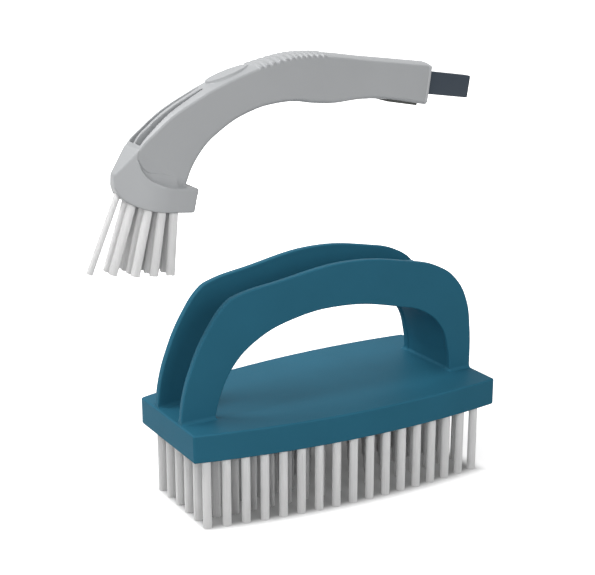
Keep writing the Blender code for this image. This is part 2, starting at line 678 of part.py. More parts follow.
def cuff_frame():
    """Where the latch pad sits: the middle of the cuff's underside and its slope."""
    start, end = [Vector(point) for point in arm_line(ARM_BELLY)[-2:]]
    run = (end - start).normalized()
    middle = end - run * (CAP_THICKNESS + 2 * SEAT_GAP + 2 * PAD_CLEARANCE + PAD_END_WALL + PAD_LENGTH / 2)
    return middle, math.atan2(-run.y, run.x)


def add_cuff_box(name, size, height, collection, root, material=None):
    """A box under the cuff, with its middle raised by height along the pad's own up direction."""
    solid = bmesh.new()
    bmesh.ops.create_cube(solid, size=1, matrix=Matrix.Diagonal((*size, 1)))
    item = add_object(name, mesh_from_bmesh(name, solid), collection, root, material)
    middle, slope = cuff_frame()
    up = Vector((math.sin(slope), 0, math.cos(slope)))
    item.location = Vector((middle.x, 0, middle.y)) + up * height
    item.rotation_euler.y = slope
    return item


def leaf_room():
    """Height of the space between the resting pad and the recess's roof."""
    return PAD_TRAVEL + LEAF_THICKNESS + 2 * SEAT_GAP


def build_detail_arm(parts, cutters, root, material):
    last = arm_end_station(ARM_END - CAP_THICKNESS - SEAT_GAP)
    steps = ARM_STEPS * (len(ARM_RIDGE) - 1)
    mesh = loft_mesh("detail_arm", [arm_ring(last * i / steps) for i in range(steps + 1)])
    arm = add_object("detail_arm", mesh, parts, root, material)

    mesh = outline_mesh("shoe", shoe_side_outline(), 2 * SHOE_HALF_WIDTH + CUT_OVERRUN)
    shoe = add_object("shoe", mesh, cutters, root)
    shoe.rotation_euler.x = math.pi / 2
    plan_height = 2 * (SHOULDER_TOP[1] - HEEL_BOTTOM[1]) * MM
    mesh = outline_mesh("shoe_plan", shoe_plan_outline(), plan_height)
    plan = add_object("shoe_plan", mesh, cutters, root)
    add_boolean(shoe, mark_cutter(plan), "INTERSECT")
    add_bevel(shoe, SHOE_EDGE_ROUND)
    add_boolean(arm, mark_cutter(shoe), "UNION")
    ribs = add_object("grip_ribs", rib_mesh(), cutters, root)
    add_boolean(arm, mark_cutter(ribs), "UNION")
    pad = add_object("thumb_pad", thumb_pad_mesh(), cutters, root)
    add_boolean(arm, mark_cutter(pad), "UNION")

    for side in (-1, 1):
        groove = add_object("groove", groove_cutter(side), cutters, root)
        add_boolean(arm, mark_cutter(groove), "DIFFERENCE")
    mesh = tongue_mesh("tongue_pocket", ARM_END - TONGUE_ROOT - SEAT_GAP, TONGUE_TIP_U, SEAT_GAP)
    pocket = add_object("tongue_pocket", mesh, cutters, root)
    add_boolean(arm, mark_cutter(pocket), "DIFFERENCE")

    depth = PAD_SUNK + leaf_room()
    size = (PAD_LENGTH + 2 * PAD_CLEARANCE, PAD_WIDTH + 2 * PAD_CLEARANCE, depth + CUT_OVERRUN)
    recess = add_cuff_box("latch_recess", size, (depth - CUT_OVERRUN) / 2, cutters, root)
    add_boolean(arm, mark_cutter(recess), "DIFFERENCE")

    reach = DETAIL_SOCKET_DEPTH + CUT_OVERRUN
    for number, column in enumerate(detail_tuft_columns(), start=1):
        holes = [(spot + direction * (CUT_OVERRUN - DETAIL_SOCKET_DEPTH) / 2, direction, reach)
                 for spot, direction, _ in column]
        name = "detail_sockets_%d" % number
        mesh = cylinders_mesh(name, holes, detail_tuft_radius(number) + SOCKET_CLEARANCE)
        add_boolean(arm, mark_cutter(add_object(name, mesh, cutters, root)), "DIFFERENCE")
    return arm


def build_detail_tufts(parts, root, tuft_material, anchor_material):
    head = SEAT_GAP + ANCHOR_DEPTH + SEAT_GAP
    for number, column in enumerate(detail_tuft_columns(), start=1):
        radius = detail_tuft_radius(number)
        anchor_size = (1.5 * radius, ANCHOR_THICKNESS, ANCHOR_DEPTH)
        for place, (spot, direction, length) in enumerate(column, start=1):
            label = "%d_%d" % (number, place)
            top = spot - direction * (DETAIL_SOCKET_DEPTH - head)
            total = length + DETAIL_SOCKET_DEPTH - head
            rod = (top + direction * total / 2, direction, total)
            tuft = cylinders_mesh("detail_tuft_" + label, [rod], radius)
            add_object(tuft.name, tuft, parts, root, tuft_material)
            middle = spot - direction * (DETAIL_SOCKET_DEPTH - head / 2)
            anchor = box_mesh("detail_anchor_" + label, middle, -direction, anchor_size)
            add_object(anchor.name, anchor, parts, root, anchor_material)


def build_end_cap(parts, cutters, root, material):
    first = arm_end_station(ARM_END - CAP_THICKNESS)
    last = len(ARM_RIDGE) - 1
    mesh = loft_mesh("end_cap", [arm_ring(first), arm_ring(last)])
    cap = add_object("end_cap", mesh, parts, root, material)
    hole = tongue_mesh("cap_hole", ARM_END - TONGUE_ROOT, TONGUE_TIP_U, SEAT_GAP)
    add_boolean(cap, mark_cutter(add_object("cap_hole", hole, cutters, root)), "DIFFERENCE")
    return cap


def build_tongue(parts, root, material):
    mesh = tongue_mesh("tongue", ARM_END - TONGUE_ROOT, TONGUE_TIP_U, 0)
    tongue = add_object("tongue", mesh, parts, root, material)
    add_bevel(tongue, TONGUE_EDGE_ROUND)
    return tongue


def build_latch(parts, root, pad_material, leaf_material):
    thickness = PAD_PROUD + PAD_SUNK
    size = (PAD_LENGTH, PAD_WIDTH, thickness)
    pad = add_cuff_box("latch_pad", size, (PAD_SUNK - PAD_PROUD) / 2, parts, root, pad_material)
    add_bevel(pad, PAD_EDGE_ROUND)
    base = PAD_SUNK + SEAT_GAP
    places = [2 * i / LEAF_STEPS - 1 for i in range(LEAF_STEPS + 1)]
    lower = [(place * LEAF_LENGTH / 2, base + PAD_TRAVEL * (1 - place ** 2), CORNER) for place in places]
    upper = [(x, h + LEAF_THICKNESS, CORNER) for x, h, _ in reversed(lower)]
    mesh = outline_mesh("latch_leaf", lower + upper, LEAF_WIDTH)
    leaf = add_object("latch_leaf", mesh, parts, root, leaf_material)
    middle, slope = cuff_frame()
    leaf.location = (middle.x, 0, middle.y)
    leaf.rotation_euler = (math.pi / 2, slope, 0)
    return pad, leaf


def leftmost_x():
    """The nose tuft's tip on the lifted detail brush, measured from the block's middle."""
    spot, direction, length = detail_tuft_columns()[0][0]
    tip = spot + direction * length
    lean = math.asin(-direction.x) + DOCK_TILT
    return to_dock(tip.x, tip.z)[0] + LIFT_X - DETAIL_NOSE_TUFT_RADIUS * math.cos(lean)


def rightmost_x():
    """The upper corner of the lifted tongue's tip, or the block's wide end where that reaches further."""
    lean = DOCK_TILT + TONGUE_SLOPE
    corner = (TONGUE_HEIGHT / 2 - TONGUE_EDGE_ROUND) * math.sin(lean)
    return max(TONGUE_TIP_X + LIFT_X + corner + TONGUE_EDGE_ROUND * (1 - math.cos(lean)), BLOCK_LENGTH / 2)


def main():
    clear_scene()
    parts = new_collection("two_in_one_brush")
    cutters = new_collection("cutters")
    teal = make_material("teal moulding", "2C5C72", 0.42)
    grey = make_material("light grey moulding", "B4B6B8", 0.45)
    bristle = make_material("white bristle", "E4E4E4", 0.55)
    wire = make_material("anchor wire", "B8A070", 0.35, 1.0)
    slate = make_material("slate bar", "444C57", 0.45)
    dark = make_material("dark latch pad", "3C3E3C", 0.6)
    rim = make_material("grey end cap", "A2A4A6", 0.45)
    spring = make_material("spring steel", "A8ACB0", 0.3, 1.0)

    block_x = -(leftmost_x() + rightmost_x()) / 2

    scrub = bpy.data.objects.new("scrub_root", None)
    parts.objects.link(scrub)
    scrub.location.x = block_x
    detail = bpy.data.objects.new("detail_root", None)
    parts.objects.link(detail)
    detail.location = (block_x + DOCK_X + LIFT_X, 0, DOCK_HEIGHT + LIFT_Z)
    detail.rotation_euler.y = DOCK_TILT

    build_scrub_body(parts, cutters, scrub, teal)
    build_scrub_tufts(parts, cutters, scrub, bristle)
    build_detail_arm(parts, cutters, detail, grey)
    build_end_cap(parts, cutters, detail, rim)
    build_tongue(parts, detail, slate)
    build_latch(parts, detail, dark, spring)
    build_detail_tufts(parts, detail, bristle, wire)


main()
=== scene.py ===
# %% [markdown]
# Two-in-one hand brush. The real object is two brushes: a teal scrub brush whose open, two-plate grip is
# also a rack, and a light grey detail brush that nests in it. Here the detail brush is lifted out, as it is
# shown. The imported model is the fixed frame, so every piece below is made in its place and in metres.

# %% Load the frame
import json
import math
import random

import bmesh
import bpy
from mathutils import Matrix, Vector

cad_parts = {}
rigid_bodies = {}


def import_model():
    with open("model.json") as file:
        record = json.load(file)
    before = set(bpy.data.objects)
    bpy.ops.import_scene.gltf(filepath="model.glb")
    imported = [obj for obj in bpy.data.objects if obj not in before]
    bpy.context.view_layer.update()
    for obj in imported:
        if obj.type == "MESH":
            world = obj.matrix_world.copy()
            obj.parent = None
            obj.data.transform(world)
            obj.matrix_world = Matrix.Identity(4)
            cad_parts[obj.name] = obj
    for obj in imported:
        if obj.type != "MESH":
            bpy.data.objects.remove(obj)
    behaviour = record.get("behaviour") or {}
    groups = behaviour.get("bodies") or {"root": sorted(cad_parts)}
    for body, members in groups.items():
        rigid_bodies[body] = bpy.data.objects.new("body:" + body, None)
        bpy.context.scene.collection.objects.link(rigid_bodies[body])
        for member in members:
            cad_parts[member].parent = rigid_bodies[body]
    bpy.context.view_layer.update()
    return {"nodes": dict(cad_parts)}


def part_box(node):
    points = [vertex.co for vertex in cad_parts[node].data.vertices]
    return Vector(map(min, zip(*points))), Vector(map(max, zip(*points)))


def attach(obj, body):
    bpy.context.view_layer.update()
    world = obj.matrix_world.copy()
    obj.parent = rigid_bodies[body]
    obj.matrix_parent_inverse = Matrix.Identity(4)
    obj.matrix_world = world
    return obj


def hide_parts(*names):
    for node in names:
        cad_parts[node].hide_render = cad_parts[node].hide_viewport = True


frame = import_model()
MM = 0.001

# %% [markdown]
# Two places carry everything. The scrub block's middle line is read from its node's box. The detail brush
# is drawn in a frame of its own, with x along the arm and z up, tilted as it lies in the grip. The middle
# of the tongue's bar is known in that frame and in the world, and the difference gives the frame's origin.

# %% Places on the two brushes
scrub_low, scrub_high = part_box("scrub_body")
block_x = (scrub_low.x + scrub_high.x) / 2
block_half_length = (scrub_high.x - scrub_low.x) / 2
block_floor = scrub_low.z
BLOCK_THICKNESS = 13.5 * MM
block_top = block_floor + BLOCK_THICKNESS

DETAIL_TILT = math.radians(5.0)
TONGUE_SLOPE = math.radians(3.8)
TONGUE_REACH, TONGUE_ROOT = 28 * MM, 12 * MM
TONGUE_AXIS_HEIGHT = 46.6 * MM
ARM_END = 119.07 * MM


def tongue_height(x):
    """The height of the tongue's middle line in the detail brush's frame."""
    return TONGUE_AXIS_HEIGHT - (x - ARM_END) * math.tan(TONGUE_SLOPE)


tongue_low, tongue_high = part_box("tongue")
tongue_middle_x = ARM_END + (TONGUE_REACH - TONGUE_ROOT) / 2
tilt = Matrix.Rotation(DETAIL_TILT, 4, "Y")
tongue_middle = Vector((tongue_middle_x, 0, tongue_height(tongue_middle_x)))
detail_origin = (tongue_low + tongue_high) / 2 - tilt @ tongue_middle
detail_place = Matrix.Translation(detail_origin) @ tilt
print("block top at", round(block_top / MM, 1), "mm, block middle at x", round(block_x / MM, 1), "mm")
print("detail brush's origin at", [round(c / MM, 2) for c in detail_origin], "mm")

# %% [markdown]
# Every finish here is a small node tree, and a few steps come back in all of them: a new material with its
# shader, a noise texture in the object's own metres, so that a grain keeps its real size, a ramp that
# stretches one range of numbers to another, and a mix of two close tones. Each gets a helper.

# %% Helpers for finishes
def srgb(hex_code):
    channels = [int(hex_code[i:i + 2], 16) / 255 for i in (0, 2, 4)]
    return (*[c / 12.92 if c <= 0.04045 else ((c + 0.055) / 1.055) ** 2.4 for c in channels], 1)


def fresh_material(name):
    """A new material, its node tree and its shader."""
    material = bpy.data.materials.new(name)
    material.use_nodes = True
    return material, material.node_tree, material.node_tree.nodes["Principled BSDF"]


def noise(tree, coordinates, scale, detail=3.0):
    texture = tree.nodes.new("ShaderNodeTexNoise")
    texture.inputs["Scale"].default_value = scale
    texture.inputs["Detail"].default_value = detail
    tree.links.new(coordinates.outputs["Object"], texture.inputs["Vector"])
    return texture.outputs["Fac"]


def ramp(tree, factor, low, high, low_value, high_value):
    spread = tree.nodes.new("ShaderNodeMapRange")
    limits = {"From Min": low, "From Max": high, "To Min": low_value, "To Max": high_value}
    for name, value in limits.items():
        spread.inputs[name].default_value = value
    tree.links.new(factor, spread.inputs["Value"])
    return spread.outputs["Result"]


def tinted(tree, factor, dark, light):
    """A colour that runs from dark to light with the factor."""
    tint = tree.nodes.new("ShaderNodeMix")
    tint.data_type = "RGBA"
    tint.inputs["A"].default_value = srgb(dark)
    tint.inputs["B"].default_value = srgb(light)
    tree.links.new(factor, tint.inputs["Factor"])
    return tint.outputs["Result"]


# %% [markdown]
# Moulded plastic is never one flat colour. A satin moulding has a fine spark-eroded grain that breaks up
# its shine, and very faint clouds where the pigment mixed unevenly. One noise makes the clouds, and a much
# finer one makes the grain, which roughens the shine and raises a tiny bump.

# %% Moulded plastic
CLOUD_SCALE = 30


def moulded_plastic(name, light, dark, roughness, shine=0.3, grain=0.06, grain_scale=2600):
    """A satin plastic whose colour drifts between two close tones, with a fine grain in its surface."""
    material, tree, shader = fresh_material(name)
    shader.inputs["Specular IOR Level"].default_value = shine
    coordinates = tree.nodes.new("ShaderNodeTexCoord")
    clouds = ramp(tree, noise(tree, coordinates, CLOUD_SCALE), 0.3, 0.7, 0, 1)
    tree.links.new(tinted(tree, clouds, dark, light), shader.inputs["Base Color"])
    grit = noise(tree, coordinates, grain_scale, 2.0)
    matt = ramp(tree, grit, 0.3, 0.7, roughness - 0.05, roughness + 0.07)
    tree.links.new(matt, shader.inputs["Roughness"])
    bump = tree.nodes.new("ShaderNodeBump")
    bump.inputs["Strength"].default_value = grain
    bump.inputs["Distance"].default_value = 0.1 * MM
    tree.links.new(grit, bump.inputs["Height"])
    tree.links.new(bump.outputs["Normal"], shader.inputs["Normal"])
    return material


# %% [markdown]
# The brush has five plastics. The teal one is a deep, matt polypropylene with little shine, so its shine is
# set low, or a pale room would wash its colour out. The greys are a touch glossier, and the end cap's grey
# is lighter than the arm's, a painted highlight for the light line at the cuff's end. The latch pad is a
# soft plastic, rougher and with a coarser grain.

# %% The finishes
teal = moulded_plastic("teal_moulding", "2A657C", "286177", 0.55, shine=0.08)
grey = moulded_plastic("light_grey_moulding", "A4A6A8", "A0A2A4", 0.4, shine=0.6)
# The cap's grey is lighter than the arm's: a painted highlight for the light line at the cuff's end.
highlight_cap_grey = moulded_plastic("grey_end_cap", "B2B4B6", "ADAFB1", 0.4, shine=0.6)
slate = moulded_plastic("slate_bar", "3A434D", "363F49", 0.5, shine=0.2, grain=0.1)
dark_pad = moulded_plastic("dark_latch_pad", "424441", "3A3C3A", 0.62, grain=0.25, grain_scale=1800)
print("finishes:", [material.name for material in bpy.data.materials])

# %% [markdown]
# Bristle is drawn nylon thread: white, a little waxy, and each thread a shade different from the next. The
# colour noise is stretched along the thread, so it varies across a tuft and hardly at all along it.

# %% Bristle
def drawn_lines(tree, squeeze, scale):
    """Noise that is squeezed hard in some directions, which leaves fine lines along the others."""
    coordinates = tree.nodes.new("ShaderNodeTexCoord")
    stretch = tree.nodes.new("ShaderNodeMapping")
    stretch.inputs["Scale"].default_value = squeeze
    tree.links.new(coordinates.outputs["Object"], stretch.inputs["Vector"])
    texture = tree.nodes.new("ShaderNodeTexNoise")
    texture.inputs["Scale"].default_value = scale
    tree.links.new(stretch.outputs["Vector"], texture.inputs["Vector"])
    return texture.outputs["Fac"]


def thread_plastic(name, light, dark):
    material, tree, shader = fresh_material(name)
    shader.inputs["Roughness"].default_value = 0.45
    shade = ramp(tree, drawn_lines(tree, (1, 1, 0.02), 1800), 0.3, 0.7, 0, 1)
    tree.links.new(tinted(tree, shade, dark, light), shader.inputs["Base Color"])
    return material


bristle = thread_plastic("white_bristle", "EAEAEA", "E1E1E1")
print("made", bristle.name)

# %% [markdown]
# Two small hidden kinds of piece are metal, the tuft anchors and the latch's leaf. Drawn wire and rolled
# strip both carry fine lines along their length, so the same squeezed noise is used, here in the shine.

# %% Drawn metal
def drawn_metal(name, colour, roughness):
    material, tree, shader = fresh_material(name)
    shader.inputs["Metallic"].default_value = 1.0
    shader.inputs["Base Color"].default_value = srgb(colour)
    matt = ramp(tree, drawn_lines(tree, (0.05, 1, 1), 4000), 0.3, 0.7, roughness - 0.08, roughness + 0.1)
    tree.links.new(matt, shader.inputs["Roughness"])
    return material


wire = drawn_metal("anchor_wire", "C2A878", 0.35)
strip = drawn_metal("spring_steel", "B0B4B8", 0.32)
print("made", wire.name, "and", strip.name)

# %% [markdown]
# Boards, cutters and half-made pieces stand in a collection of their own, the workshop, which is cleared at
# the end. Modifiers stay on a piece until it is wanted, and its finished mesh is then read from Blender's
# dependency graph, with every modifier carried out.

# %% Pieces and the workshop
workshop = bpy.data.collections.new("workshop")
bpy.context.scene.collection.children.link(workshop)


def add_piece(name, mesh, material=None, collection=None):
    piece = bpy.data.objects.new(name, mesh)
    (collection or bpy.context.scene.collection).objects.link(piece)
    if material:
        mesh.materials.clear()
        mesh.materials.append(material)
    return piece


def shaped(name, solid, material=None, collection=workshop):
    """A bmesh as a new piece."""
    mesh = bpy.data.meshes.new(name)
    solid.to_mesh(mesh)
    solid.free()
    return add_piece(name, mesh, material, collection)


def finished_mesh(piece):
    """The mesh with its modifiers carried out, in world space."""
    bpy.context.view_layer.update()
    graph = bpy.context.evaluated_depsgraph_get()
    mesh = bpy.data.meshes.new_from_object(piece.evaluated_get(graph))
    mesh.transform(piece.matrix_world)
    return mesh


# %% [markdown]
# The moulded shapes all start as side views. A 2D Bezier curve is the shortest way to draw one: a few
# knots, automatic handles where the edge is round and plain corners elsewhere. Filled and extruded, it
# becomes a board with clean edges that booleans and bevels can work on.

# %% Boards
CORNER = "VECTOR"
ROUND = "AUTO"
CURVE_STEPS = 12


def board(name, knots, thickness):
    """A flat outline of (x, y, handle) knots as a welded board, centred on its own plane."""
    curve = bpy.data.curves.new(name, "CURVE")
    curve.dimensions = "2D"
    curve.fill_mode = "BOTH"
    curve.extrude = thickness / 2
    curve.resolution_u = CURVE_STEPS
    spline = curve.splines.new("BEZIER")
    spline.bezier_points.add(len(knots) - 1)
    for point, (x, y, handle) in zip(spline.bezier_points, knots):
        point.co = (x, y, 0)
        point.handle_left_type = handle
        point.handle_right_type = handle
    spline.use_cyclic_u = True
    holder = add_piece(name + "_curve", curve, collection=workshop)
    mesh = finished_mesh(holder)
    bpy.data.objects.remove(holder)
    solid = bmesh.new()
    solid.from_mesh(mesh)
    bmesh.ops.remove_doubles(solid, verts=solid.verts, dist=0.01 * MM)
    bmesh.ops.dissolve_limit(solid, angle_limit=math.radians(0.2), verts=solid.verts, edges=solid.edges)
    bmesh.ops.recalc_face_normals(solid, faces=solid.faces)
    solid.to_mesh(mesh)
    solid.free()
    return add_piece(name, mesh, collection=workshop)


# %% [markdown]
# Boards are joined, cut and intersected by boolean modifiers, and a bevel modifier rounds the edges that
# are sharper than an angle. As modifiers they are carried out in the order in which they are added, so an
# edge can be rounded before or after a cut.

# %% Booleans and rounded edges
def combine(piece, tool, operation):
    step = piece.modifiers.new(operation, "BOOLEAN")
    step.operation = operation
    step.solver = "EXACT"
    step.object = tool
    tool.hide_render = True


def round_edges(piece, width, segments=3, angle=math.radians(35)):
    bevel = piece.modifiers.new("rounded edges", "BEVEL")
    bevel.width = width
    bevel.segments = segments
    bevel.limit_method = "ANGLE"
    bevel.angle_limit = angle


# %% [markdown]
# The scrub block is a flat board with a straight narrow end, a straight wide end and bowed long sides. Its
# half width at any x is a straight taper plus a parabola that fades out at both ends, so the outline needs
# no table of points.

# %% The scrub block
NARROW_WIDTH = 55.3 * MM
WIDE_WIDTH = 78.9 * MM
SIDE_BOW = 8.1 * MM
SIDE_STEPS = 48
BLOCK_EDGE = 0.9 * MM


def half_width(x):
    along = x / block_half_length
    return (NARROW_WIDTH * (1 - along) + WIDE_WIDTH * (1 + along)) / 4 + SIDE_BOW * (1 - along * along)


side_xs = [block_half_length * (2 * i / SIDE_STEPS - 1) for i in range(SIDE_STEPS + 1)]
block_knots = [(x, -half_width(x), CORNER) for x in side_xs]
block_knots += [(x, half_width(x), CORNER) for x in reversed(side_xs)]
block = board("block", block_knots, BLOCK_THICKNESS)
block.location = (block_x, 0, block_top - BLOCK_THICKNESS / 2)
round_edges(block, BLOCK_EDGE)
print("block is", round(2 * half_width(0) / MM, 1), "mm wide at its middle")

# %% [markdown]
# The grip is two upright plates with the same side view, which spread a little towards the wide end. Each
# knot of their edge is given as millimetres in from the foot and a share of the full height. The hollow
# between the plates is where the detail brush lies, so nothing closes it on top.

# %% The grip's side view
CREST_HEIGHT = 65.0 * MM
OPENING_HEIGHT = 43.8 * MM
FOOT_INSET = 0.4 * MM
FOOT_SINK = 2.0 * MM
NARROW_LEG = 17.2 * MM
WIDE_LEG = 12.0 * MM
NARROW_EDGE = [(2, 0.19), (6, 0.39), (15, 0.665), (25, 0.845), (29, 0.873), (50, 0.93)]
WIDE_EDGE = [(0.6, 0.33), (3.3, 0.56), (9.5, 0.73), (19, 0.845), (39, 0.936)]
NARROW_OPENING = [(2.3, 0.18), (10, 0.54), (22, 0.78), (40, 0.94)]
WIDE_OPENING = [(1.2, 0.23), (6, 0.55), (16.5, 0.77), (32, 0.885)]

end = block_half_length - FOOT_INSET
grip_knots = [(-end, -FOOT_SINK, CORNER)]
grip_knots += [(inward * MM - end, share * CREST_HEIGHT, ROUND) for inward, share in NARROW_EDGE]
grip_knots += [(8 * MM, CREST_HEIGHT, ROUND)]
grip_knots += [(end - inward * MM, share * CREST_HEIGHT, ROUND) for inward, share in reversed(WIDE_EDGE)]
grip_knots += [(end, -FOOT_SINK, CORNER), (end - WIDE_LEG, -FOOT_SINK, CORNER)]
grip_knots += [(end - WIDE_LEG - inward * MM, share * OPENING_HEIGHT, ROUND)
               for inward, share in WIDE_OPENING]
grip_knots += [(5 * MM, OPENING_HEIGHT, ROUND)]
grip_knots += [(NARROW_LEG - end + inward * MM, share * OPENING_HEIGHT, ROUND)
               for inward, share in reversed(NARROW_OPENING)]
grip_knots += [(NARROW_LEG - end, -FOOT_SINK, CORNER)]
print("the grip's edge is drawn with", len(grip_knots), "knots")

# %% [markdown]
# Both plates come from the one side view. Each is a board stood on its edge, moved out by half the channel
# and turned by half the angle of its spread, and its edge gets a small round before it is joined to the
# block.

# %% Two plates
PLATE_THICKNESS = 3.4 * MM
PLATE_EDGE = 0.7 * MM
CHANNEL_NARROW = 21.0 * MM
CHANNEL_WIDE = 34.0 * MM


def upright(name, knots, thickness):
    """A board stood on its edge on the block's top, with its drawing seen from the side."""
    piece = board(name, knots, thickness)
    piece.location = (block_x, 0, block_top)
    piece.rotation_euler.x = math.pi / 2
    return piece


spread = math.atan((CHANNEL_WIDE - CHANNEL_NARROW) / 4 / block_half_length)
plate_middle = (CHANNEL_NARROW + CHANNEL_WIDE) / 4 + PLATE_THICKNESS / 2
for side in (-1, 1):
    plate = upright("plate", grip_knots, PLATE_THICKNESS)
    plate.location.y = side * plate_middle
    plate.rotation_euler.z = side * spread
    round_edges(plate, PLATE_EDGE)
    combine(block, plate, "UNION")
print("the plates spread by", round(math.degrees(2 * spread), 1), "degrees")

# %% [markdown]
# A curved web closes the wide leg between the plates, just behind the edge of the hand opening. It is a
# strip of even thickness that follows that edge, so it is drawn by walking along the edge and stepping
# outwards.

# %% The web in the wide leg
WEB_RECESS = 0.6 * MM
WEB_THICKNESS = 3.0 * MM
WEB_TOP, WEB_STEPS = 3.1, 20
BRIDGE_WIDTH = CHANNEL_WIDE + 1.2 * MM


def through(points, t):
    """A smooth curve through the points, with t counting them from 0."""
    index = min(int(t), len(points) - 2)
    local = t - index
    p1, p2 = Vector(points[index]), Vector(points[index + 1])
    p0 = Vector(points[index - 1]) if index > 0 else 2 * p1 - p2
    p3 = Vector(points[index + 2]) if index + 2 < len(points) else 2 * p2 - p1
    return 0.5 * (2 * p1 + (p2 - p0) * local + (2 * p0 - 5 * p1 + 4 * p2 - p3) * local ** 2
                  + (3 * p1 - p0 - 3 * p2 + p3) * local ** 3)


leg_edge = [(end - WIDE_LEG, -FOOT_SINK)]
leg_edge += [(end - WIDE_LEG - inward * MM, share * OPENING_HEIGHT) for inward, share in WIDE_OPENING]
path = [through(leg_edge, WEB_TOP * i / WEB_STEPS) for i in range(WEB_STEPS + 1)]
near, far = [], []
for i, point in enumerate(path):
    run = (path[min(i + 1, WEB_STEPS)] - path[max(i - 1, 0)]).normalized()
    outward = Vector((run.y, -run.x))
    near.append((*(point + outward * WEB_RECESS), CORNER))
    far.append((*(point + outward * (WEB_RECESS + WEB_THICKNESS)), CORNER))
web = upright("web", near + far[::-1], BRIDGE_WIDTH)
combine(block, web, "UNION")
print("the web rises to", round(path[-1].y / MM, 1), "mm above the block")

# %% [markdown]
# At the top of the wide leg a small cradle bridges the plates. Its slot takes the detail brush's flat
# tongue with a little clearance, and slopes as the tongue does when the brush is nested.

# %% The tongue's cradle
TONGUE_HEIGHT = 10.8 * MM
TONGUE_THICKNESS = 5.2 * MM
NEST_SLOPE = math.tan(DETAIL_TILT + TONGUE_SLOPE)
TONGUE_TIP = Vector((72.0 * MM, 44.85 * MM))
CRADLE_END = TONGUE_TIP.x - 4 * MM
CRADLE_LENGTH = 11 * MM
CRADLE_FLOOR, CRADLE_RIM, CRADLE_EDGE = 3.4 * MM, 1.5 * MM, 0.5 * MM
SLOT_CLEARANCE, SLOT_SPARE = 0.4 * MM, 8 * MM


def nested_band(x_from, x_to, below, above):
    """The nested tongue's side view between two x, grown down and up."""
    heights = [TONGUE_TIP.y + (TONGUE_TIP.x - x) * NEST_SLOPE for x in (x_from, x_to)]
    low = [(x, z - TONGUE_HEIGHT / 2 - below, CORNER) for x, z in zip((x_from, x_to), heights)]
    high = [(x, z + TONGUE_HEIGHT / 2 + above, CORNER)
            for x, z in zip((x_to, x_from), reversed(heights))]
    return low + high


cradle_band = nested_band(CRADLE_END - CRADLE_LENGTH, CRADLE_END, CRADLE_FLOOR, -CRADLE_RIM)
cradle = upright("cradle", cradle_band, BRIDGE_WIDTH)
round_edges(cradle, CRADLE_EDGE)
combine(block, cradle, "UNION")
slot_from, slot_to = CRADLE_END - 2 * CRADLE_LENGTH, CRADLE_END + SLOT_SPARE
slot_band = nested_band(slot_from, slot_to, SLOT_CLEARANCE, TONGUE_HEIGHT)
slot = upright("slot", slot_band, TONGUE_THICKNESS + 2 * SLOT_CLEARANCE)
combine(block, slot, "DIFFERENCE")
print("the cradle's slot slopes by", round(math.degrees(DETAIL_TILT + TONGUE_SLOPE), 1), "degrees")

# %% [markdown]
# A loft is a body through a row of rings, and it can follow any path and change its section on the way,
# which an extruded board can't. It makes the fillets, the detail brush's arm, its ribs and its grooves. The
# section of a fillet is always the same concave quarter circle, in the corner between a wall and a floor.

# %% Lofts and concave sections
FILLET_STEPS = 6


def loft(name, rings):
    """A closed body through rings of equal length, with a flat face at each end."""
    solid = bmesh.new()
    loops = [[solid.verts.new(point) for point in ring] for ring in rings]
    for one, two in zip(loops, loops[1:]):
        for i in range(len(one)):
            j = (i + 1) % len(one)
            solid.faces.new((one[i], one[j], two[j], two[i]))
    solid.faces.new(loops[0][::-1])
    solid.faces.new(loops[-1])
    bmesh.ops.recalc_face_normals(solid, faces=solid.faces)
    return shaped(name, solid)


def concave(radius):
    """Distance from the wall and height above the floor, along a concave quarter circle."""
    angles = [math.pi / 2 * k / FILLET_STEPS for k in range(FILLET_STEPS + 1)]
    return [(radius * (1 - math.sin(a)), radius * (1 - math.cos(a))) for a in angles]


# %% [markdown]
# Where a plate stands on the block the mould has a small concave fillet, which shows as a soft light line.
# A bevel can't make it here, because the foot is almost flush with the block's end. So each leg gets a
# skirt: rings round its footprint that shrink along a quarter circle as they rise, trimmed inside the
# block's outline.

# %% Fillets at the plates' feet
FILLET = 1.8 * MM
THIN_EDGE = 0.02 * MM
TRIM_THICKNESS = 20 * MM


def footprint(x_from, x_to, half, grow, height):
    """A leg's footprint grown evenly, with round corners, at a height."""
    corners = [(x_to, half), (x_from, half), (x_from, -half), (x_to, -half)]
    turns = [(corner, math.radians(90 * (i + k / 4))) for i, corner in enumerate(corners) for k in range(5)]
    return [Vector((x + grow * math.cos(a), y + grow * math.sin(a), height)) for (x, y), a in turns]


trim_knots = [(x * (1 - BLOCK_EDGE / block_half_length), y - math.copysign(BLOCK_EDGE, y), handle)
              for x, y, handle in block_knots]
legs = [(0.2 * MM - end, NARROW_LEG - end + 0.3 * MM), (end - WIDE_LEG - 0.2 * MM, end - 0.1 * MM)]
for side in (-1, 1):
    for x_from, x_to in legs:
        rings = [footprint(x_from, x_to, PLATE_THICKNESS / 2, FILLET, -MM)]
        rings += [footprint(x_from, x_to, PLATE_THICKNESS / 2, max(out, THIN_EDGE), rise)
                  for out, rise in concave(FILLET)]
        skirt = loft("skirt", rings)
        skirt.location = (block_x, side * plate_middle, block_top)
        skirt.rotation_euler.z = side * spread
        trim = board("trim", trim_knots, TRIM_THICKNESS)
        trim.location = (block_x, 0, block_top)
        combine(skirt, trim, "INTERSECT")
        combine(block, skirt, "UNION")
print("four skirts of", round(FILLET / MM, 1), "mm")

# %% [markdown]
# The web stands across the block between the plates, so its fillets are straight. They are two more boards,
# a corner filled in with the same quarter circle, one before the web and one behind it.

# %% Fillets at the web's foot
WALL_BITE = 0.6 * MM
WEB_FILLET_WIDTH = CHANNEL_WIDE + 0.6 * MM


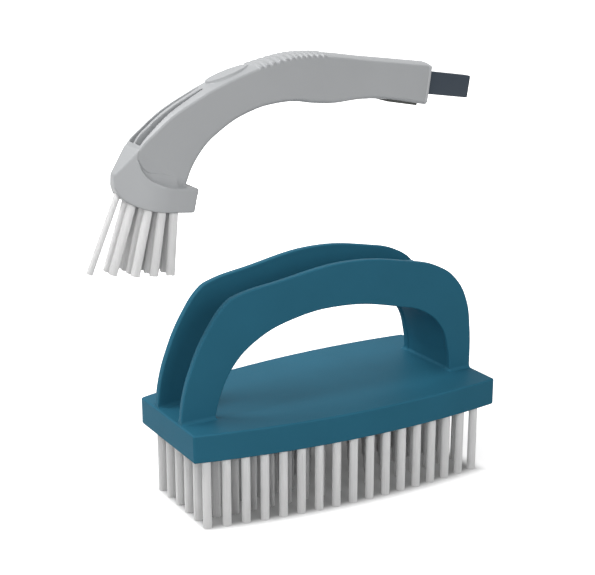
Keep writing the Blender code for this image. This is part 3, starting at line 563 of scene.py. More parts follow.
def face_at_floor(knots):
    """Where a face of the web crosses the block's top, from its drawn knots."""
    for (x0, z0, _), (x1, z1, _) in zip(knots, knots[1:]):
        if z0 <= 0 <= z1:
            return x0 + (x1 - x0) * -z0 / (z1 - z0)
    raise ValueError("the web doesn't cross the block's top")


for knots, away in ((near, -1), (far, 1)):
    wall = face_at_floor(knots)
    corner = [(wall - away * WALL_BITE, -MM, CORNER), (wall + away * FILLET, -MM, CORNER)]
    corner += [(wall + away * out, rise, CORNER) for out, rise in concave(FILLET)]
    corner += [(wall - away * WALL_BITE, FILLET, CORNER)]
    combine(block, upright("web_fillet", corner, WEB_FILLET_WIDTH), "UNION")
    print("web face at", round(wall / MM, 1), "mm from the block's middle")

# %% [markdown]
# Tufts stand in rows that keep the same share of the block's width all along, so the rows bow with the
# sides. Each tuft leaves a drilled hole, and the holes show as thin dark rings round the roots from below.

# %% The tuft pattern and its holes
TUFT_RADIUS = 2.1 * MM
HOLE_CLEARANCE = 0.35 * MM
ROWS, COLUMNS = 6, 17
END_MARGIN = 8.2 * MM
SIDE_MARGIN = 6.4 * MM
HOLE_DEPTH = 3 * MM

reach = block_half_length - END_MARGIN
scrub_rows = []
for row in range(ROWS):
    share = 2 * row / (ROWS - 1) - 1
    xs = [reach * (2 * i / (COLUMNS - 1) - 1) for i in range(COLUMNS)]
    scrub_rows.append([Vector((block_x + x, share * (half_width(x) - SIDE_MARGIN), 0)) for x in xs])


up, down = Vector((0, 0, 1)), Vector((0, 0, -1))


def pegs(name, places, radius, sides=20):
    """Cylinders as one cutter: each place is a middle, a direction and a length."""
    solid = bmesh.new()
    for middle, direction, length in places:
        turn = up.rotation_difference(direction).to_matrix().to_4x4()
        bmesh.ops.create_cone(solid, cap_ends=True, segments=sides, radius1=radius, radius2=radius,
                              depth=length, matrix=Matrix.Translation(middle) @ turn)
    bmesh.ops.recalc_face_normals(solid, faces=solid.faces)
    return shaped(name, solid)


drills = [(Vector((p.x, p.y, block_floor)), up, 2 * HOLE_DEPTH) for row in scrub_rows for p in row]
combine(block, pegs("drills", drills, TUFT_RADIUS + HOLE_CLEARANCE, sides=14), "DIFFERENCE")
print(len(drills), "holes of", round(2 * (TUFT_RADIUS + HOLE_CLEARANCE) / MM, 1), "mm")

# %% [markdown]
# All the boards and cutters are modifiers on the block so far. Now they are carried out once, which leaves
# one plain mesh. The cuts leave a few points on top of each other, and merging those takes the slivers
# between them away. Faces are shaded smooth up to 30 degrees, and weighted normals keep the broad flat
# faces flat.

# %% The finished scrub moulding
SLIVER = 0.001 * MM


def shade_smooth(mesh, sharp):
    """Smooth shading, with a hard edge where two faces meet at more than an angle."""
    for polygon in mesh.polygons:
        polygon.use_smooth = True
    mesh.set_sharp_from_angle(angle=sharp)


def settle(name, source, material, sharp=math.radians(30), place=Matrix()):
    """The worked-up source as one plain piece without slivers, put in its place."""
    mesh = finished_mesh(source)
    mesh.transform(place)
    cleaned = bmesh.new()
    cleaned.from_mesh(mesh)
    bmesh.ops.remove_doubles(cleaned, verts=cleaned.verts, dist=SLIVER)
    cleaned.to_mesh(mesh)
    cleaned.free()
    shade_smooth(mesh, sharp)
    return add_piece(name, mesh, material)


moulding = settle("scrub_moulding", block, teal)
flatten = moulding.modifiers.new("flat faces stay flat", "WEIGHTED_NORMAL")
flatten.keep_sharp = True
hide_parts("scrub_body")
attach(moulding, "scrub_brush")
print("scrub moulding has", len(moulding.data.polygons), "faces")

# %% [markdown]
# A tuft is a bundle of threads folded into its hole. From a step away it is a smooth white rod, and only
# close up do the threads show. So each tuft is a packed core with a ring of thin threads round it, and
# short ends of threads on its tip, all cut to slightly different lengths, which gives the tip its fibrous
# look.

# %% A bundle of threads
RING_THREADS = 26
THREAD_SHARE = 0.11
CORE_SIDES = 24
FLARE, TAPER = 1.02, 0.95
TIP_RINGS = ((0, 1), (0.34, 6), (0.64, 11))
TIP_LENGTH, CUT_SPREAD = 0.8, 0.3
random.seed(7)


def add_thread(solid, root, tip, radius, sides=5):
    direction = (tip - root).normalized()
    turn = up.rotation_difference(direction).to_matrix().to_4x4()
    spin = Matrix.Rotation(random.uniform(0, math.pi), 4, "Z")
    place = Matrix.Translation((root + tip) / 2) @ turn @ spin
    bmesh.ops.create_cone(solid, cap_ends=True, segments=sides, radius1=radius, radius2=radius * TAPER,
                          depth=(tip - root).length, matrix=place)


def add_bundle(solid, root, direction, length, radius):
    """A core, a ring of threads round it and the thread ends on its tip."""
    turn = up.rotation_difference(direction).to_matrix()
    thread = radius * THREAD_SHARE
    core_end = root + direction * (length - TIP_LENGTH * MM)
    add_thread(solid, root, core_end, radius - 0.6 * thread, CORE_SIDES)
    for i in range(RING_THREADS):
        angle = 2 * math.pi * i / RING_THREADS
        spot = turn @ Vector((math.cos(angle), math.sin(angle), 0)) * (radius - thread)
        cut = length - random.uniform(0, CUT_SPREAD) * MM
        add_thread(solid, root + spot, root + direction * cut + spot * FLARE, thread)
    for share, count in TIP_RINGS:
        for i in range(count):
            angle = 2 * math.pi * i / count + share
            spot = turn @ Vector((math.cos(angle), math.sin(angle), 0)) * radius * share
            cut = direction * (TIP_LENGTH - random.uniform(0, CUT_SPREAD)) * MM
            add_thread(solid, core_end + spot - direction * MM, core_end + spot + cut, thread)


def bundle_piece(name, bundles, radius):
    solid = bmesh.new()
    for root, direction, length in bundles:
        add_bundle(solid, root, direction, length, radius)
    piece = shaped(name, solid, bristle, None)
    shade_smooth(piece.data, math.radians(80))
    return piece


# %% [markdown]
# One row of tufts is one piece, because one strip in the block holds it. The tufts start just above the
# bottom of their holes, so that they are held, and end on the floor, where the real ones were trimmed to
# one level.

# %% The scrub rows
ROOT_SINK = HOLE_DEPTH + 0.2 * MM
for number, row in enumerate(scrub_rows, start=1):
    roots = [(Vector((p.x, p.y, block_floor + ROOT_SINK)), down, block_floor + ROOT_SINK) for p in row]
    tufts = bundle_piece("scrub_bristles_%d" % number, roots, TUFT_RADIUS)
    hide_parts("scrub_tufts_row_%d" % number)
    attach(tufts, "scrub_brush")
print(ROWS, "rows of", COLUMNS, "tufts,", len(tufts.data.polygons), "faces in a row")

# %% [markdown]
# The detail brush's arm is a bent, slightly tapering bar. A loft follows its side view: matching points on
# the ridge and on the belly, in millimetres, give the bar's depth and direction at each station. Smooth
# curves between the stations keep the bend even.

# %% Stations along the arm
RIDGE = [(-31.7, 9.0), (-29.6, 17.6), (-23.1, 24.4), (-14.6, 31.8), (-3.8, 38.6), (5.5, 43.8), (17.0, 49.0),
         (27.0, 52.7), (41.3, 56.7), (53.4, 58.2), (67.2, 58.0), (81.1, 57.1), (95.5, 56.4), (119.1, 55.2)]
BELLY = [(-7.7, -3.6), (-5.9, 2.1), (-3.1, 9.8), (1.9, 17.7), (7.7, 23.3), (16.2, 29.4), (25.0, 33.5),
         (32.6, 35.9), (44.9, 37.6), (55.7, 36.9), (67.2, 36.9), (81.1, 38.7), (95.5, 38.9), (118.1, 36.6)]
ARM_HALF = 7.5 * MM
CUFF_HALF = 8.6 * MM
CUFF_FROM, CUFF_SPAN = 11, 2
FRONT_TAPER = 1.1 * MM


def station(t):
    """Belly point, unit direction to the ridge, depth and half width of the arm at station t."""
    ridge, belly = through(RIDGE, t) * MM, through(BELLY, t) * MM
    flare = min(max((t - CUFF_FROM) / CUFF_SPAN, 0), 1)
    half = ARM_HALF + (CUFF_HALF - ARM_HALF) * flare * flare * (3 - 2 * flare)
    half -= FRONT_TAPER * (1 - min(t, 1))
    return belly, (ridge - belly).normalized(), (ridge - belly).length, half


def arm_point(t, across, height):
    belly, rise, _, _ = station(t)
    spot = belly + rise * height
    return Vector((spot.x, across, spot.y))


print("the arm has", len(RIDGE), "stations")

# %% [markdown]
# One cross section serves the whole arm: a box with rounder edges below than above, and a top that is
# crowned a little. The crown fades out at the shoe's flat facet. The loft runs a little past the place
# where the cap begins, and its end is cut off square later.

# %% The arm's section and loft
CROWN = 1.2 * MM
CROWN_FROM, CROWN_SPAN = 0.9, 0.9
LOW_ROUND, HIGH_ROUND = 2.2 * MM, 1.0 * MM
ARM_STEPS = 90


def crown_at(t):
    """How far the top swells at its middle."""
    grow = min(max((t - CROWN_FROM) / CROWN_SPAN, 0), 1)
    return CROWN * grow * grow * (3 - 2 * grow)


def arc(y, h, radius, start, stop, steps):
    angles = [math.radians(start + (stop - start) * i / steps) for i in range(steps + 1)]
    return [(y + radius * math.cos(a), h + radius * math.sin(a)) for a in angles]


def arm_section(t):
    _, _, depth, half = station(t)
    span = half - HIGH_ROUND
    crown = crown_at(t)
    right = arc(half - LOW_ROUND, LOW_ROUND, LOW_ROUND, -90, 0, 6)
    right += arc(span, depth - HIGH_ROUND, HIGH_ROUND, 0, 78, 4)
    right += [(share * span, depth + crown * (1 - share ** 2)) for share in (0.75, 0.5, 0.25)]
    middle = [(0, depth + crown)]
    ring = right + middle + [(-y, h) for y, h in reversed(right)]
    return [arm_point(t, y, h) for y, h in ring]


CAP_THICKNESS = 1.6 * MM
GAP = 0.3 * MM
PAST_CUT = 0.8 * MM


def station_at(x):
    """The station on the cuff's straight last span whose ridge point reaches x."""
    before, last = RIDGE[-2][0] * MM, RIDGE[-1][0] * MM
    return len(RIDGE) - 2 + (x - before) / (last - before)


last_station = station_at(ARM_END - CAP_THICKNESS + PAST_CUT)
arm = loft("arm", [arm_section(last_station * i / ARM_STEPS) for i in range(ARM_STEPS + 1)])
print("the arm is lofted to station", round(last_station, 2))

# %% [markdown]
# The shoe holds the detail tufts. Seen from the side it is a band that runs up to a point in front of the
# arm, and from above it narrows to a flat nose. Where two side views define a shape, the simplest solid is
# the intersection of the two boards.

# %% The shoe
SHOE_HALF = 12.6 * MM
NOSE_HALF = 2.4 * MM
SHOE_TOP = [(-38.7, 5.3), (-29.9, 17.2)]
SHOE_SHOULDER = [(-30.2, 12.3), (-28.4, 8.0), (-26.1, 5.1), (-23.0, 3.2), (-18.0, 1.6), (-12.7, 0.8)]
SHOE_HEEL = [(-2.9, 0.6), (-4.4, -10.2)]
SHOE_SOLE = [(-12.7, -10.0), (-18.1, -9.8), (-23.3, -9.3), (-28.3, -8.2), (-32.9, -6.3), (-36.3, -3.7)]
NOSE_FOOT = [(-38.5, 0.2)]
FACET_END = -29.9 * MM
FACET_PROUD = 0.3 * MM
FULL_WIDTH_AT = -16.0 * MM
SIDE_BOARD, PLAN_BOARD, PLAN_STEPS = 30 * MM, 80 * MM, 40


def shoe_half(x):
    """Half the shoe's width: flat facets from the nose to the arm, then a curve out to full width."""
    nose, facet = SHOE_TOP[0][0] * MM, ARM_HALF + FACET_PROUD
    if x < FACET_END:
        return facet + (NOSE_HALF - facet) * (x - FACET_END) / (nose - FACET_END)
    along = min((x - FACET_END) / (FULL_WIDTH_AT - FACET_END), 1)
    return facet + (SHOE_HALF - facet) * (1 - (1 - along) ** 2)


side_knots = [(*p, CORNER) for p in SHOE_TOP] + [(*p, ROUND) for p in SHOE_SHOULDER]
side_knots += [(*p, CORNER) for p in SHOE_HEEL] + [(*p, ROUND) for p in SHOE_SOLE]
side_knots += [(*p, CORNER) for p in NOSE_FOOT]
shoe = board("shoe", [(x * MM, z * MM, handle) for x, z, handle in side_knots], SIDE_BOARD)
shoe.rotation_euler.x = math.pi / 2
nose_x, heel_x = SHOE_TOP[0][0] * MM - GAP, SHOE_HEEL[0][0] * MM + GAP
plan_xs = [nose_x + (heel_x - nose_x) * i / PLAN_STEPS for i in range(PLAN_STEPS + 1)]
plan_knots = [(x, -shoe_half(x), CORNER) for x in plan_xs]
plan_knots += [(x, shoe_half(x), CORNER) for x in reversed(plan_xs)]
plan = board("plan", plan_knots, PLAN_BOARD)
combine(shoe, plan, "INTERSECT")
print("the shoe is", round(2 * SHOE_HALF / MM, 1), "mm wide")

# %% [markdown]
# The arm's sides don't meet the shoe's ledge in a hard corner. A fillet runs down the ledge beside the arm
# and grows as the ledge widens, so it can't be one radius. It is lofted: a small concave section is carried
# along the ledge's side view, once on each side of the arm.

# %% The fillets beside the arm
SHOULDER_FILLET = 4.4 * MM
LEDGE_SHARE = 0.97
LEDGE_STEPS = 30
FADE_FROM, FADE_SPAN = 0.1, 0.9
SMALLEST_FILLET = 0.05 * MM
BITE = 0.5 * MM
STATION_STEP = 0.05
ledge = SHOE_SHOULDER + [(-7.6, 0.7)]
last_span = len(ledge) - 1


def ledge_section(t, side):
    """The fillet's section at station t of the ledge, square to the ledge."""
    here = through(ledge, t) * MM
    ahead, behind = min(t + STATION_STEP, last_span), max(t - STATION_STEP, 0)
    run = (through(ledge, ahead) - through(ledge, behind)).normalized()
    rise = Vector((-run.y, run.x))
    fade = min(FADE_FROM + (last_span - t) / FADE_SPAN, 1)
    room = LEDGE_SHARE * (shoe_half(here.x) - ARM_HALF)
    radius = max(min(SHOULDER_FILLET, room) * fade, SMALLEST_FILLET)
    points = [(-BITE, -BITE), (radius, -BITE)] + concave(radius) + [(-BITE, radius)]
    return [Vector((here.x + rise.x * h, side * (ARM_HALF + y), here.y + rise.y * h)) for y, h in points]


for side in (-1, 1):
    rings = [ledge_section(last_span * i / LEDGE_STEPS, side) for i in range(LEDGE_STEPS + 1)]
    combine(arm, loft("shoulder_fillet", rings), "UNION")
print("shoulder fillets grow to", round(SHOULDER_FILLET / MM, 1), "mm")

# %% [markdown]
# Behind the arm its belly meets the ledge too. That fillet runs across, is largest in the middle and fades
# out towards the arm's sides, so it is lofted from one side to the other with a radius that follows an
# ellipse.

# %% The fillet behind the arm
BELLY_FILLET = 2.6 * MM
BELLY_STEPS, BELLY_SHARE = 20, 0.98
BELLY_ROOT = 2 * MM
BELLY_CORNER = Vector((-6.7, 0.7)) * MM
climb = (Vector(BELLY[2]) - Vector(BELLY[1])).normalized()


def belly_section(across):
    """The fillet's section at a distance from the middle."""
    radius = BELLY_FILLET * math.sqrt(1 - (across / ARM_HALF) ** 2) + 0.1 * MM
    corner = BELLY_CORNER + Vector((-BITE, -BITE))
    points = [corner - Vector((BELLY_ROOT, 0)), corner + Vector((radius + BITE, 0))]
    points += [BELLY_CORNER + Vector((out, 0)) + climb * rise for out, rise in concave(radius)]
    points += [BELLY_CORNER + climb * radius - Vector((BELLY_ROOT, 0))]
    return [Vector((p.x, across, p.y)) for p in points]


spread_over = [ARM_HALF * (2 * i / BELLY_STEPS - 1) * BELLY_SHARE for i in range(BELLY_STEPS + 1)]
combine(arm, loft("belly_fillet", [belly_section(across) for across in spread_over]), "UNION")
print("the fillet behind the arm is", round(BELLY_FILLET / MM, 1), "mm at its middle")

# %% [markdown]
# Low bars across the top, behind the thumb rest, stop a wet hand from slipping. They wrap a little over the
# arm's side edges, which makes a row of small scallops there. They are joined to the arm before its skin is
# melted together, so each gets a soft root and a soft crest like a moulded rib.

# %% Grip bars
RIB_FROM, RIB_TO, RIB_COUNT = 7.0, 9.45, 12
RIB_WIDTH = 1.5 * MM
RIB_HEIGHT = 0.42 * MM
RIB_WRAP, RIB_DROP = 0.1 * MM, 0.8 * MM


def rib_rings(t):
    """The two faces of the bar at station t."""
    _, _, depth, half = station(t)
    ahead, behind = arm_point(t + STATION_STEP, 0, depth), arm_point(t - STATION_STEP, 0, depth)
    pace = (ahead - behind).length / (2 * STATION_STEP)
    span = half + RIB_WRAP
    shares = [k / 4 - 1 for k in range(9)]
    ring = [(share * span, depth + CROWN * (1 - share ** 2) + RIB_HEIGHT) for share in shares]
    ring += [(span, depth - RIB_DROP), (-span, depth - RIB_DROP)]
    return [[arm_point(t + s * RIB_WIDTH / 2 / pace, y, h) for y, h in ring] for s in (-1, 1)]


for i in range(RIB_COUNT):
    rib_station = RIB_FROM + (RIB_TO - RIB_FROM) * i / (RIB_COUNT - 1)
    combine(arm, loft("rib", rib_rings(rib_station)), "UNION")
print(RIB_COUNT, "bars of", round(RIB_WIDTH / MM, 1), "mm")

# %% [markdown]
# Two long channels run down the bend's top. They are wide and close to the sides at the shoe, and they
# narrow and draw together away from it, so each cutter is a loft whose width and place change along the
# arm.

# %% Grooves in the bend
GROOVE_FROM, GROOVE_TO = 1.14, 4.6
GROOVE_WIDE, GROOVE_NARROW, GROOVE_DEPTH = 5.2 * MM, 1.1 * MM, 2.8 * MM
GROOVE_SPACING, GROOVE_END_SPACING = 6.4 * MM, 4.2 * MM
GROOVE_STEPS = 24
CUT_SPARE = 3 * MM


def groove_ring(along, side):
    t = GROOVE_FROM + (GROOVE_TO - GROOVE_FROM) * along
    depth = station(t)[2]
    half = (GROOVE_WIDE + (GROOVE_NARROW - GROOVE_WIDE) * along) / 2
    middle = side * (GROOVE_SPACING + (GROOVE_END_SPACING - GROOVE_SPACING) * along) / 2
    low, high = depth - GROOVE_DEPTH, depth + CUT_SPARE
    corners = ((middle - half, low), (middle + half, low), (middle + half, high), (middle - half, high))
    return [arm_point(t, y, h) for y, h in corners]


for side in (-1, 1):
    rings = [groove_ring(i / GROOVE_STEPS, side) for i in range(GROOVE_STEPS + 1)]
    combine(arm, loft("groove", rings), "DIFFERENCE")
print("two grooves,", round(GROOVE_WIDE / MM, 1), "mm wide at the shoe")

# %% [markdown]
# Above the bend the thumb rests on a low oval platform. It stands proud towards the shoe and runs out flush
# behind, so it is a flat drum, tipped by a few degrees against the ridge and sunk into it.

# %% The thumb rest
THUMB_STATION = 5.75
THUMB_LENGTH, THUMB_WIDTH = 21.5 * MM, 9.6 * MM
THUMB_PROUD, THUMB_ROOT = 0.6 * MM, 2.5 * MM
THUMB_TILT = math.radians(3.5)

ridge_height = station(THUMB_STATION)[2]
before, after = [arm_point(THUMB_STATION + step, 0, ridge_height) for step in (-0.5, 0.5)]
ridge_run = after - before
place = Matrix.Translation(arm_point(THUMB_STATION, 0, ridge_height + CROWN))
place = place @ Matrix.Rotation(THUMB_TILT - math.atan2(ridge_run.z, ridge_run.x), 4, "Y")
place = place @ Matrix.Translation((0, 0, (THUMB_PROUD - THUMB_ROOT) / 2))
place = place @ Matrix.Diagonal((THUMB_LENGTH / 2, THUMB_WIDTH / 2, THUMB_PROUD + THUMB_ROOT, 1))
drum = bmesh.new()
bmesh.ops.create_cone(drum, cap_ends=True, segments=64, radius1=1, radius2=1, depth=1, matrix=place)
combine(arm, shaped("thumb_rest", drum), "UNION")
print("the thumb rest is", round(THUMB_LENGTH / MM, 1), "by", round(THUMB_WIDTH / MM, 1), "mm")

# %% [markdown]
# The real arm has no hard seams: shoe, arm and bars flow together because the mould was filleted. A voxel
# remesh turns the booleans into one even skin, a short smoothing melts the corners into fillets, and a
# decimate takes away the faces that flat areas don't need. The shoe's edges are rounder than the bars', so
# it is melted by itself first, and for longer.

# %% Melt the arm and shoe together
VOXEL = 0.3 * MM
SHOE_ROUNDS, ARM_ROUNDS = 14, 4
KEPT_FACES = 0.3


def melted(piece, rounds):
    skin = piece.modifiers.new("one skin", "REMESH")
    skin.mode = "VOXEL"
    skin.voxel_size = VOXEL
    soften = piece.modifiers.new("soft corners", "SMOOTH")
    soften.factor = 0.5
    soften.iterations = rounds


melted(shoe, SHOE_ROUNDS)
combine(arm, shoe, "UNION")
melted(arm, ARM_ROUNDS)
thin = arm.modifiers.new("fewer faces", "DECIMATE")
thin.ratio = KEPT_FACES
arm_mesh = finished_mesh(arm)
print("arm skin has", len(arm_mesh.polygons), "faces")

# %% [markdown]
# Fifteen tufts stand under the shoe in five columns. A single thinner one leads at the nose. Behind it come
# columns of two and then of four, in rows up to 6 mm apart. The pockets come last on the arm, because their
# edges are crisp on the real part.

# %% Detail tuft places
DETAIL_COUNTS = (1, 2, 4, 4, 4)
DETAIL_FROM, DETAIL_TO = -35.9 * MM, -13.0 * MM
DETAIL_RADIUS, NOSE_TUFT_RADIUS = 2.0 * MM, 1.5 * MM
ROW_PITCH, ROW_MARGIN = 6.0 * MM, 3.2 * MM
TRIM_DEPTH = 38.4 * MM
NOSE_LEAN = math.radians(18.5)


def sole_height(x):
    line = NOSE_FOOT + SHOE_SOLE[::-1] + SHOE_HEEL[1:]
    for (x0, z0), (x1, z1) in zip(line, line[1:]):
        if x0 * MM <= x <= x1 * MM:
            return (z0 + (z1 - z0) * (x / MM - x0) / (x1 - x0)) * MM
    raise ValueError("the sole doesn't reach this place")


detail_columns = []
for index, count in enumerate(DETAIL_COUNTS):
    share = index / (len(DETAIL_COUNTS) - 1)
    x = DETAIL_FROM + (DETAIL_TO - DETAIL_FROM) * share
    lean = NOSE_LEAN * (1 - share)
    direction = Vector((-math.sin(lean), 0, -math.cos(lean)))
    half = min(shoe_half(x) - ROW_MARGIN, ROW_PITCH * (count - 1) / 2)
    ys = [half * (2 * k / (count - 1) - 1) for k in range(count)] if count > 1 else [0.0]
    length = (sole_height(x) + TRIM_DEPTH) / math.cos(lean)
    detail_columns.append([(Vector((x, y, sole_height(x))), direction, length) for y in ys])
detail_radii = [NOSE_TUFT_RADIUS] + [DETAIL_RADIUS] * (len(DETAIL_COUNTS) - 1)
print(sum(DETAIL_COUNTS), "tufts in", len(detail_columns), "columns")

# %% [markdown]
# Three kinds of pocket are cut: the tongue's slot in the cuff, a hole for each detail tuft, and the latch
# pad's recess under the cuff. The slot and the recess are boxes grown by the clearance of what sits in
# them, made with the same helpers that make the tongue and the pad, so the two can't drift apart. A boolean
# works where its two pieces stand, so the arm stays in its own frame until everything is cut.

# %% The tongue's slot and the tuft holes
body = add_piece("arm_body", arm_mesh, collection=workshop)


def bar(name, x_from, x_to, grow):
    """A straight bar along the tongue's line."""
    solid = bmesh.new()
    middle = (x_from + x_to) / 2
    length = (x_to - x_from) / math.cos(TONGUE_SLOPE)
    size = (length, TONGUE_THICKNESS + 2 * grow, TONGUE_HEIGHT + 2 * grow, 1)
    place = Matrix.Translation((middle, 0, tongue_height(middle))) @ Matrix.Rotation(TONGUE_SLOPE, 4, "Y")
    bmesh.ops.create_cube(solid, size=1, matrix=place @ Matrix.Diagonal(size))
    return shaped(name, solid)


tongue_from, tongue_to = ARM_END - TONGUE_ROOT, ARM_END + TONGUE_REACH
combine(body, bar("tongue_pocket", tongue_from - GAP, tongue_to, GAP), "DIFFERENCE")
for column, radius in zip(detail_columns, detail_radii):
    holes = [(spot, direction, 2 * HOLE_DEPTH) for spot, direction, _ in column]
    combine(body, pegs("detail_holes", holes, radius + HOLE_CLEARANCE), "DIFFERENCE")
print("a slot", round((TONGUE_THICKNESS + 2 * GAP) / MM, 1), "mm wide and", sum(DETAIL_COUNTS), "holes")

# %% [markdown]
# The cuff's end is cut off square, so that the cap meets a crisp edge with hardly a gap. The cutter is a
# loft of two big rings along the cuff's own stations, which makes its first face square to the cuff.

# %% The cuff's square end
SEAM = 0.08 * MM
CUTTER_HALF, CUTTER_MARGIN = 15 * MM, 6 * MM


def end_ring(x):
    t = station_at(x)
    low, high = -CUTTER_MARGIN, station(t)[2] + CUTTER_MARGIN
    corners = ((-CUTTER_HALF, low), (CUTTER_HALF, low), (CUTTER_HALF, high), (-CUTTER_HALF, high))
    return [arm_point(t, y, h) for y, h in corners]


end_cut = loft("end_cut", [end_ring(ARM_END - CAP_THICKNESS - SEAM), end_ring(ARM_END + CUT_SPARE)])
combine(body, end_cut, "DIFFERENCE")
print("the cuff ends", round((CAP_THICKNESS + SEAM) / MM, 2), "mm before the cap's face")

# %% [markdown]
# The latch pad lies under the cuff, square to its slope, and its place is found from the cuff's end: the
# cap, the gaps and a thin wall come first, and then half the pad's length. Its recess is deeper than the
# pad, which leaves room for the spring leaf. With the last cut made, the arm is put in its place.

# %% The latch recess and the finished arm
PAD_LENGTH, PAD_WIDTH, PAD_SUNK, PAD_PROUD = 17.5 * MM, 12.5 * MM, 1.2 * MM, 1.0 * MM
PAD_PLAY = 0.35 * MM
END_WALL = 1.2 * MM
LEAF_ROOM = 1.7 * MM
cuff_start, cuff_end = Vector(BELLY[-2]) * MM, Vector(BELLY[-1]) * MM
cuff_run = (cuff_end - cuff_start).normalized()
cuff_slope = math.atan2(-cuff_run.y, cuff_run.x)
pad_middle = cuff_end - cuff_run * (CAP_THICKNESS + 2 * GAP + 2 * PAD_PLAY + END_WALL + PAD_LENGTH / 2)
pad_place = Matrix.Translation((pad_middle.x, 0, pad_middle.y)) @ Matrix.Rotation(cuff_slope, 4, "Y")


def box_on_pad(name, size, height):
    """A box on the pad's own axes, with its middle at a height above the pad's seam."""
    solid = bmesh.new()
    place = pad_place @ Matrix.Translation((0, 0, height)) @ Matrix.Diagonal((*size, 1))
    bmesh.ops.create_cube(solid, size=1, matrix=place)
    return shaped(name, solid)


recess_depth = PAD_SUNK + LEAF_ROOM
recess_size = (PAD_LENGTH + 2 * PAD_PLAY, PAD_WIDTH + 2 * PAD_PLAY, recess_depth + CUT_SPARE)
combine(body, box_on_pad("latch_recess", recess_size, (recess_depth - CUT_SPARE) / 2), "DIFFERENCE")
arm_piece = settle("arm_moulding", body, grey, math.radians(40), detail_place)
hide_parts("detail_arm")
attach(arm_piece, "detail_brush")
print("arm moulding has", len(arm_piece.data.polygons), "faces")

# %% [markdown]
# The detail tufts lean forward at the nose and stand straight at the heel, and the trimming machine has cut
# them all to one level. Each column is one piece that stands for its own tufts. The wire anchors at their
# roots and the spring leaf stay as they were packed, and only get their metal.

# %% The detail tufts
turn_only = detail_place.to_3x3()
for number, (column, radius) in enumerate(zip(detail_columns, detail_radii), start=1):
    bundles = [(detail_place @ (spot - direction * ROOT_SINK), turn_only @ direction, length + ROOT_SINK)
               for spot, direction, length in column]
    tufts = bundle_piece("detail_bristles_%d" % number, bundles, radius)
    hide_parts(*["detail_tuft_%d_%d" % (number, place) for place in range(1, len(column) + 1)])
    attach(tufts, "detail_brush")
for name, node in frame["nodes"].items():
    if name.startswith("detail_anchor"):
        node.data.materials[0] = wire
frame["nodes"]["latch_leaf"].data.materials[0] = strip
print("dressed", len(detail_columns), "columns of detail tufts")

# %% [markdown]
# The cuff ends in a thin cap, the slate tongue comes out of it, and a dark pad sits under it. The cap
# repeats the arm's own section, so its rim lines up with the arm.

# %% Cap, tongue and latch pad
CAP_EDGE, TONGUE_EDGE, PAD_EDGE = 0.3 * MM, 0.6 * MM, 0.45 * MM

cap = loft("cap", [arm_section(station_at(ARM_END - CAP_THICKNESS)), arm_section(len(RIDGE) - 1)])
round_edges(cap, CAP_EDGE, segments=2, angle=math.radians(50))
combine(cap, bar("cap_hole", tongue_from, tongue_to, GAP), "DIFFERENCE")
cap_piece = settle("cuff_cap", cap, highlight_cap_grey, place=detail_place)

tongue = bar("tongue_bar", tongue_from, tongue_to, 0)
round_edges(tongue, TONGUE_EDGE, segments=4)
tongue_piece = settle("slate_tongue", tongue, slate, place=detail_place)

pad = box_on_pad("pad", (PAD_LENGTH, PAD_WIDTH, PAD_PROUD + PAD_SUNK), (PAD_SUNK - PAD_PROUD) / 2)
round_edges(pad, PAD_EDGE, segments=4)
pad_piece = settle("latch_thumb_pad", pad, dark_pad, place=detail_place)

for piece, node, slot_name, carrier in ((cap_piece, "end_cap", "grey_end_cap", "detail_brush"),
                                        (tongue_piece, "tongue", "slate_bar", "detail_brush"),
                                        (pad_piece, "latch_pad", "dark_latch_pad", "latch_button")):
    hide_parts(node)
    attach(piece, carrier)
    print(piece.name, "has", len(piece.data.polygons), "faces")

# %% [markdown]
# The stage and the sky are to look white without lighting the brushes from all sides. The Light Path node
# tells what kind of ray is asking, so both can be bright for rays from the camera, a mirror or a glass, and
# dimmer for the soft light that falls on the brushes. Two helpers do the sums in the node trees.

# %% Sums in node trees
def maths(tree, operation, one, two=0.0):
    node = tree.nodes.new("ShaderNodeMath")
    node.operation = operation
    for socket, value in zip(node.inputs, (one, two)):
        if isinstance(value, (int, float)):
            socket.default_value = value
        else:
            tree.links.new(value, socket)
    return node.outputs[0]


def is_seen(tree):
    """One for rays from the camera, a reflection or a refraction, and nought for soft light."""
    path = tree.nodes.new("ShaderNodeLightPath")
    mirrored = maths(tree, "MAXIMUM", path.outputs["Is Glossy Ray"], path.outputs["Is Transmission Ray"])
    return maths(tree, "MAXIMUM", path.outputs["Is Camera Ray"], mirrored)


# %% [markdown]
# The stage is a white sheet. It adds light of its own for the rays that are seen, and it is only mid grey
# for the soft light that it throws back. The added light falls off near the bristles and is almost gone
# under them, and there the seen colour turns grey too, which paints their shadow. For that the sheet has to
# know how far each place is from the outline of the tufts.

# %% The distance from the tufts
def outside_tufts(tree):
    """How far a place on the floor lies outside the outline of the scrub tufts, in metres."""
    split = tree.nodes.new("ShaderNodeSeparateXYZ")
    tree.links.new(tree.nodes.new("ShaderNodeTexCoord").outputs["Object"], split.inputs[0])
    x = maths(tree, "SUBTRACT", split.outputs["X"], block_x)
    along = maths(tree, "DIVIDE", x, block_half_length)
    widest = (NARROW_WIDTH + WIDE_WIDTH) / 4 + SIDE_BOW - SIDE_MARGIN + TUFT_RADIUS
    taper = maths(tree, "ADD", maths(tree, "MULTIPLY", along, (WIDE_WIDTH - NARROW_WIDTH) / 4), widest)
    bow = maths(tree, "MULTIPLY", maths(tree, "MULTIPLY", along, along), SIDE_BOW)
    half = maths(tree, "SUBTRACT", taper, bow)
    past_side = maths(tree, "SUBTRACT", maths(tree, "ABSOLUTE", split.outputs["Y"]), half)
    past_end = maths(tree, "SUBTRACT", maths(tree, "ABSOLUTE", x), reach + TUFT_RADIUS)
    return maths(tree, "MAXIMUM", past_side, past_end)
